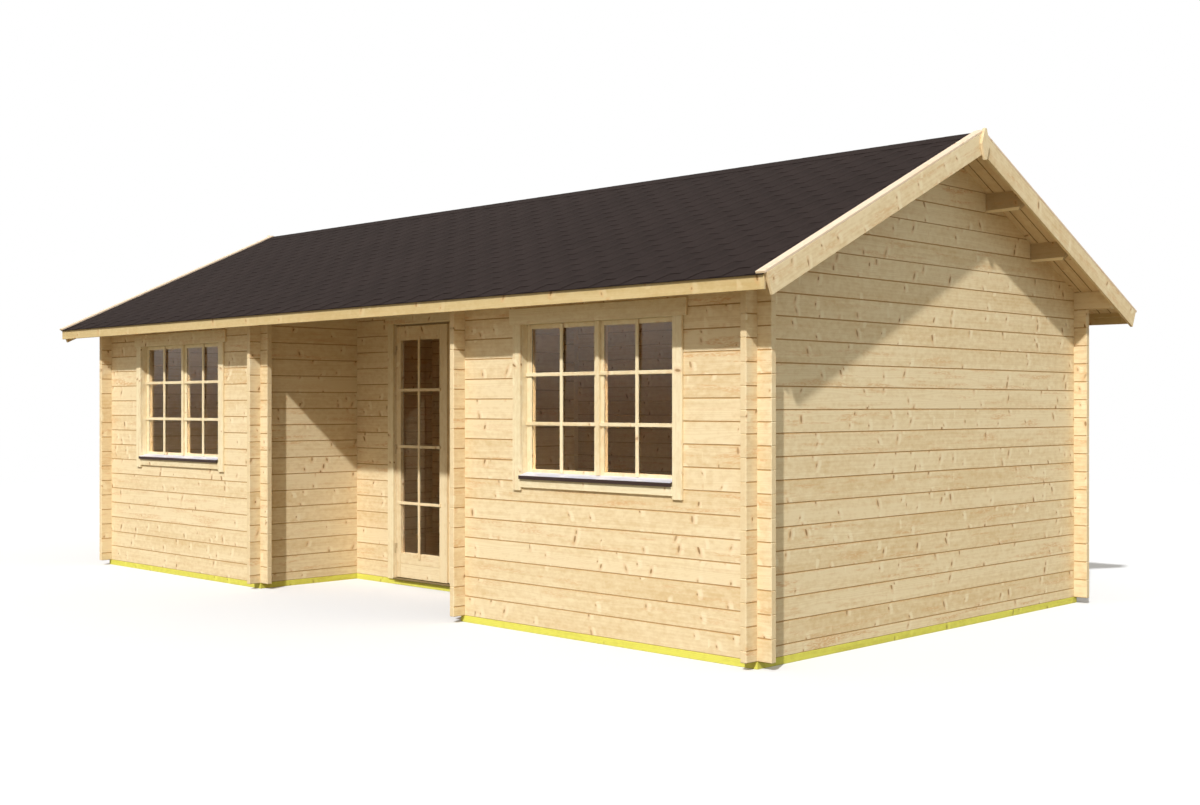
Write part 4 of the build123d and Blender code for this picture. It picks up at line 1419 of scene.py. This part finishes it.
def main() -> None:
    """Builds every sub-assembly in order."""
    logging.basicConfig(level=logging.INFO, format="%(name)s %(message)s")
    spruce = Wood("spruce_logs").material()
    # Purlins: the darker tones are painted shade on their shaded sides, and the bright end tone is a painted
    # highlight on their ends and chamfers.
    purlin = Wood(
        "spruce_purlins_painted_shade",
        pale=(0.54, 0.400, 0.225),
        deep=(0.43, 0.290, 0.140),
        light=(0.60, 0.455, 0.265),
        end=(0.95, 0.770, 0.480),
    ).material()
    lining = Wood(
        "roof_boards",
        pale=(0.80, 0.615, 0.370),
        deep=(0.66, 0.455, 0.225),
        light=(0.84, 0.665, 0.415),
        # Darker seam: painted shade in the joints between the roof boards.
        seam=(0.34, 0.200, 0.080),
        knot_share=0.30,
        ring_width=0.0048,
    ).material()
    plain = Wood("spruce_boards", knot_share=0.34, streaks=0.60, ring_width=0.0048)
    sanded = replace(plain, name="spruce_casings", pale=(0.88, 0.760, 0.520), deep=(0.73, 0.565, 0.325))
    planed = replace(plain, name="planed_caps", pale=(0.85, 0.675, 0.530), deep=(0.76, 0.570, 0.410))
    trim = replace(
        plain,
        name="spruce_trim",
        pale=(0.65, 0.500, 0.260),
        deep=(0.55, 0.390, 0.170),
        light=(0.70, 0.555, 0.315),
        knot_share=0.36,
    )
    treated = Wood(
        "treated_timber",
        pale=(0.80, 0.76, 0.130),
        deep=(0.64, 0.59, 0.090),
        red=(0.60, 0.50, 0.080),
        light=(0.83, 0.80, 0.190),
        end=(0.60, 0.56, 0.085),
        knot=(0.30, 0.24, 0.050),
        seam=(0.30, 0.24, 0.050),
    ).material()
    threshold = Wood(
        "dark_hardwood",
        pale=(0.240, 0.175, 0.075),
        deep=(0.160, 0.112, 0.045),
        red=(0.160, 0.090, 0.040),
        light=(0.265, 0.195, 0.090),
        knot=(0.050, 0.030, 0.018),
        knot_share=0.0,
        ring_width=0.003,
        roughness=0.75,
    ).material()
    floor = Wood("floor_boards", knot_share=0.25, ring_width=0.0052)
    # The warm glass tints are painted light that stands in for warm bounce light inside the rooms.
    window_glass = Glass("window_glass", tint=(1.0, 0.89, 0.78), lamp=(1.0, 0.93, 0.83))
    door_glass = Glass("door_glass", tint=(0.95, 0.87, 0.82), lamp=(0.55, 0.42, 0.34))
    zinc = Metal("zinc_hinges", (0.66, 0.52, 0.32), wear_and_highlight=(0.50, 0.37, 0.20), metallic=0.55, roughness=0.45)
    joinery, casing = plain.material(), sanded.material()
    LogWork(spruce, purlin).build()
    Trim(casing, joinery, planed.material(), trim.material(), treated, threshold).build()
    Windows(casing, window_glass.material(), FoldedSheet().material()).build()
    Doors(joinery, door_glass.material(), zinc.material()).build()
    Boarding(lining, floor.material()).build()
    Shingles(Shingle().material()).build()
    Studio(eye=Vector((8.880, -8.326, 1.487)), turn=44.49, lens=43.1, rise=0.0025).build()
    write_sizes()


if __name__ == "__main__":
    main()
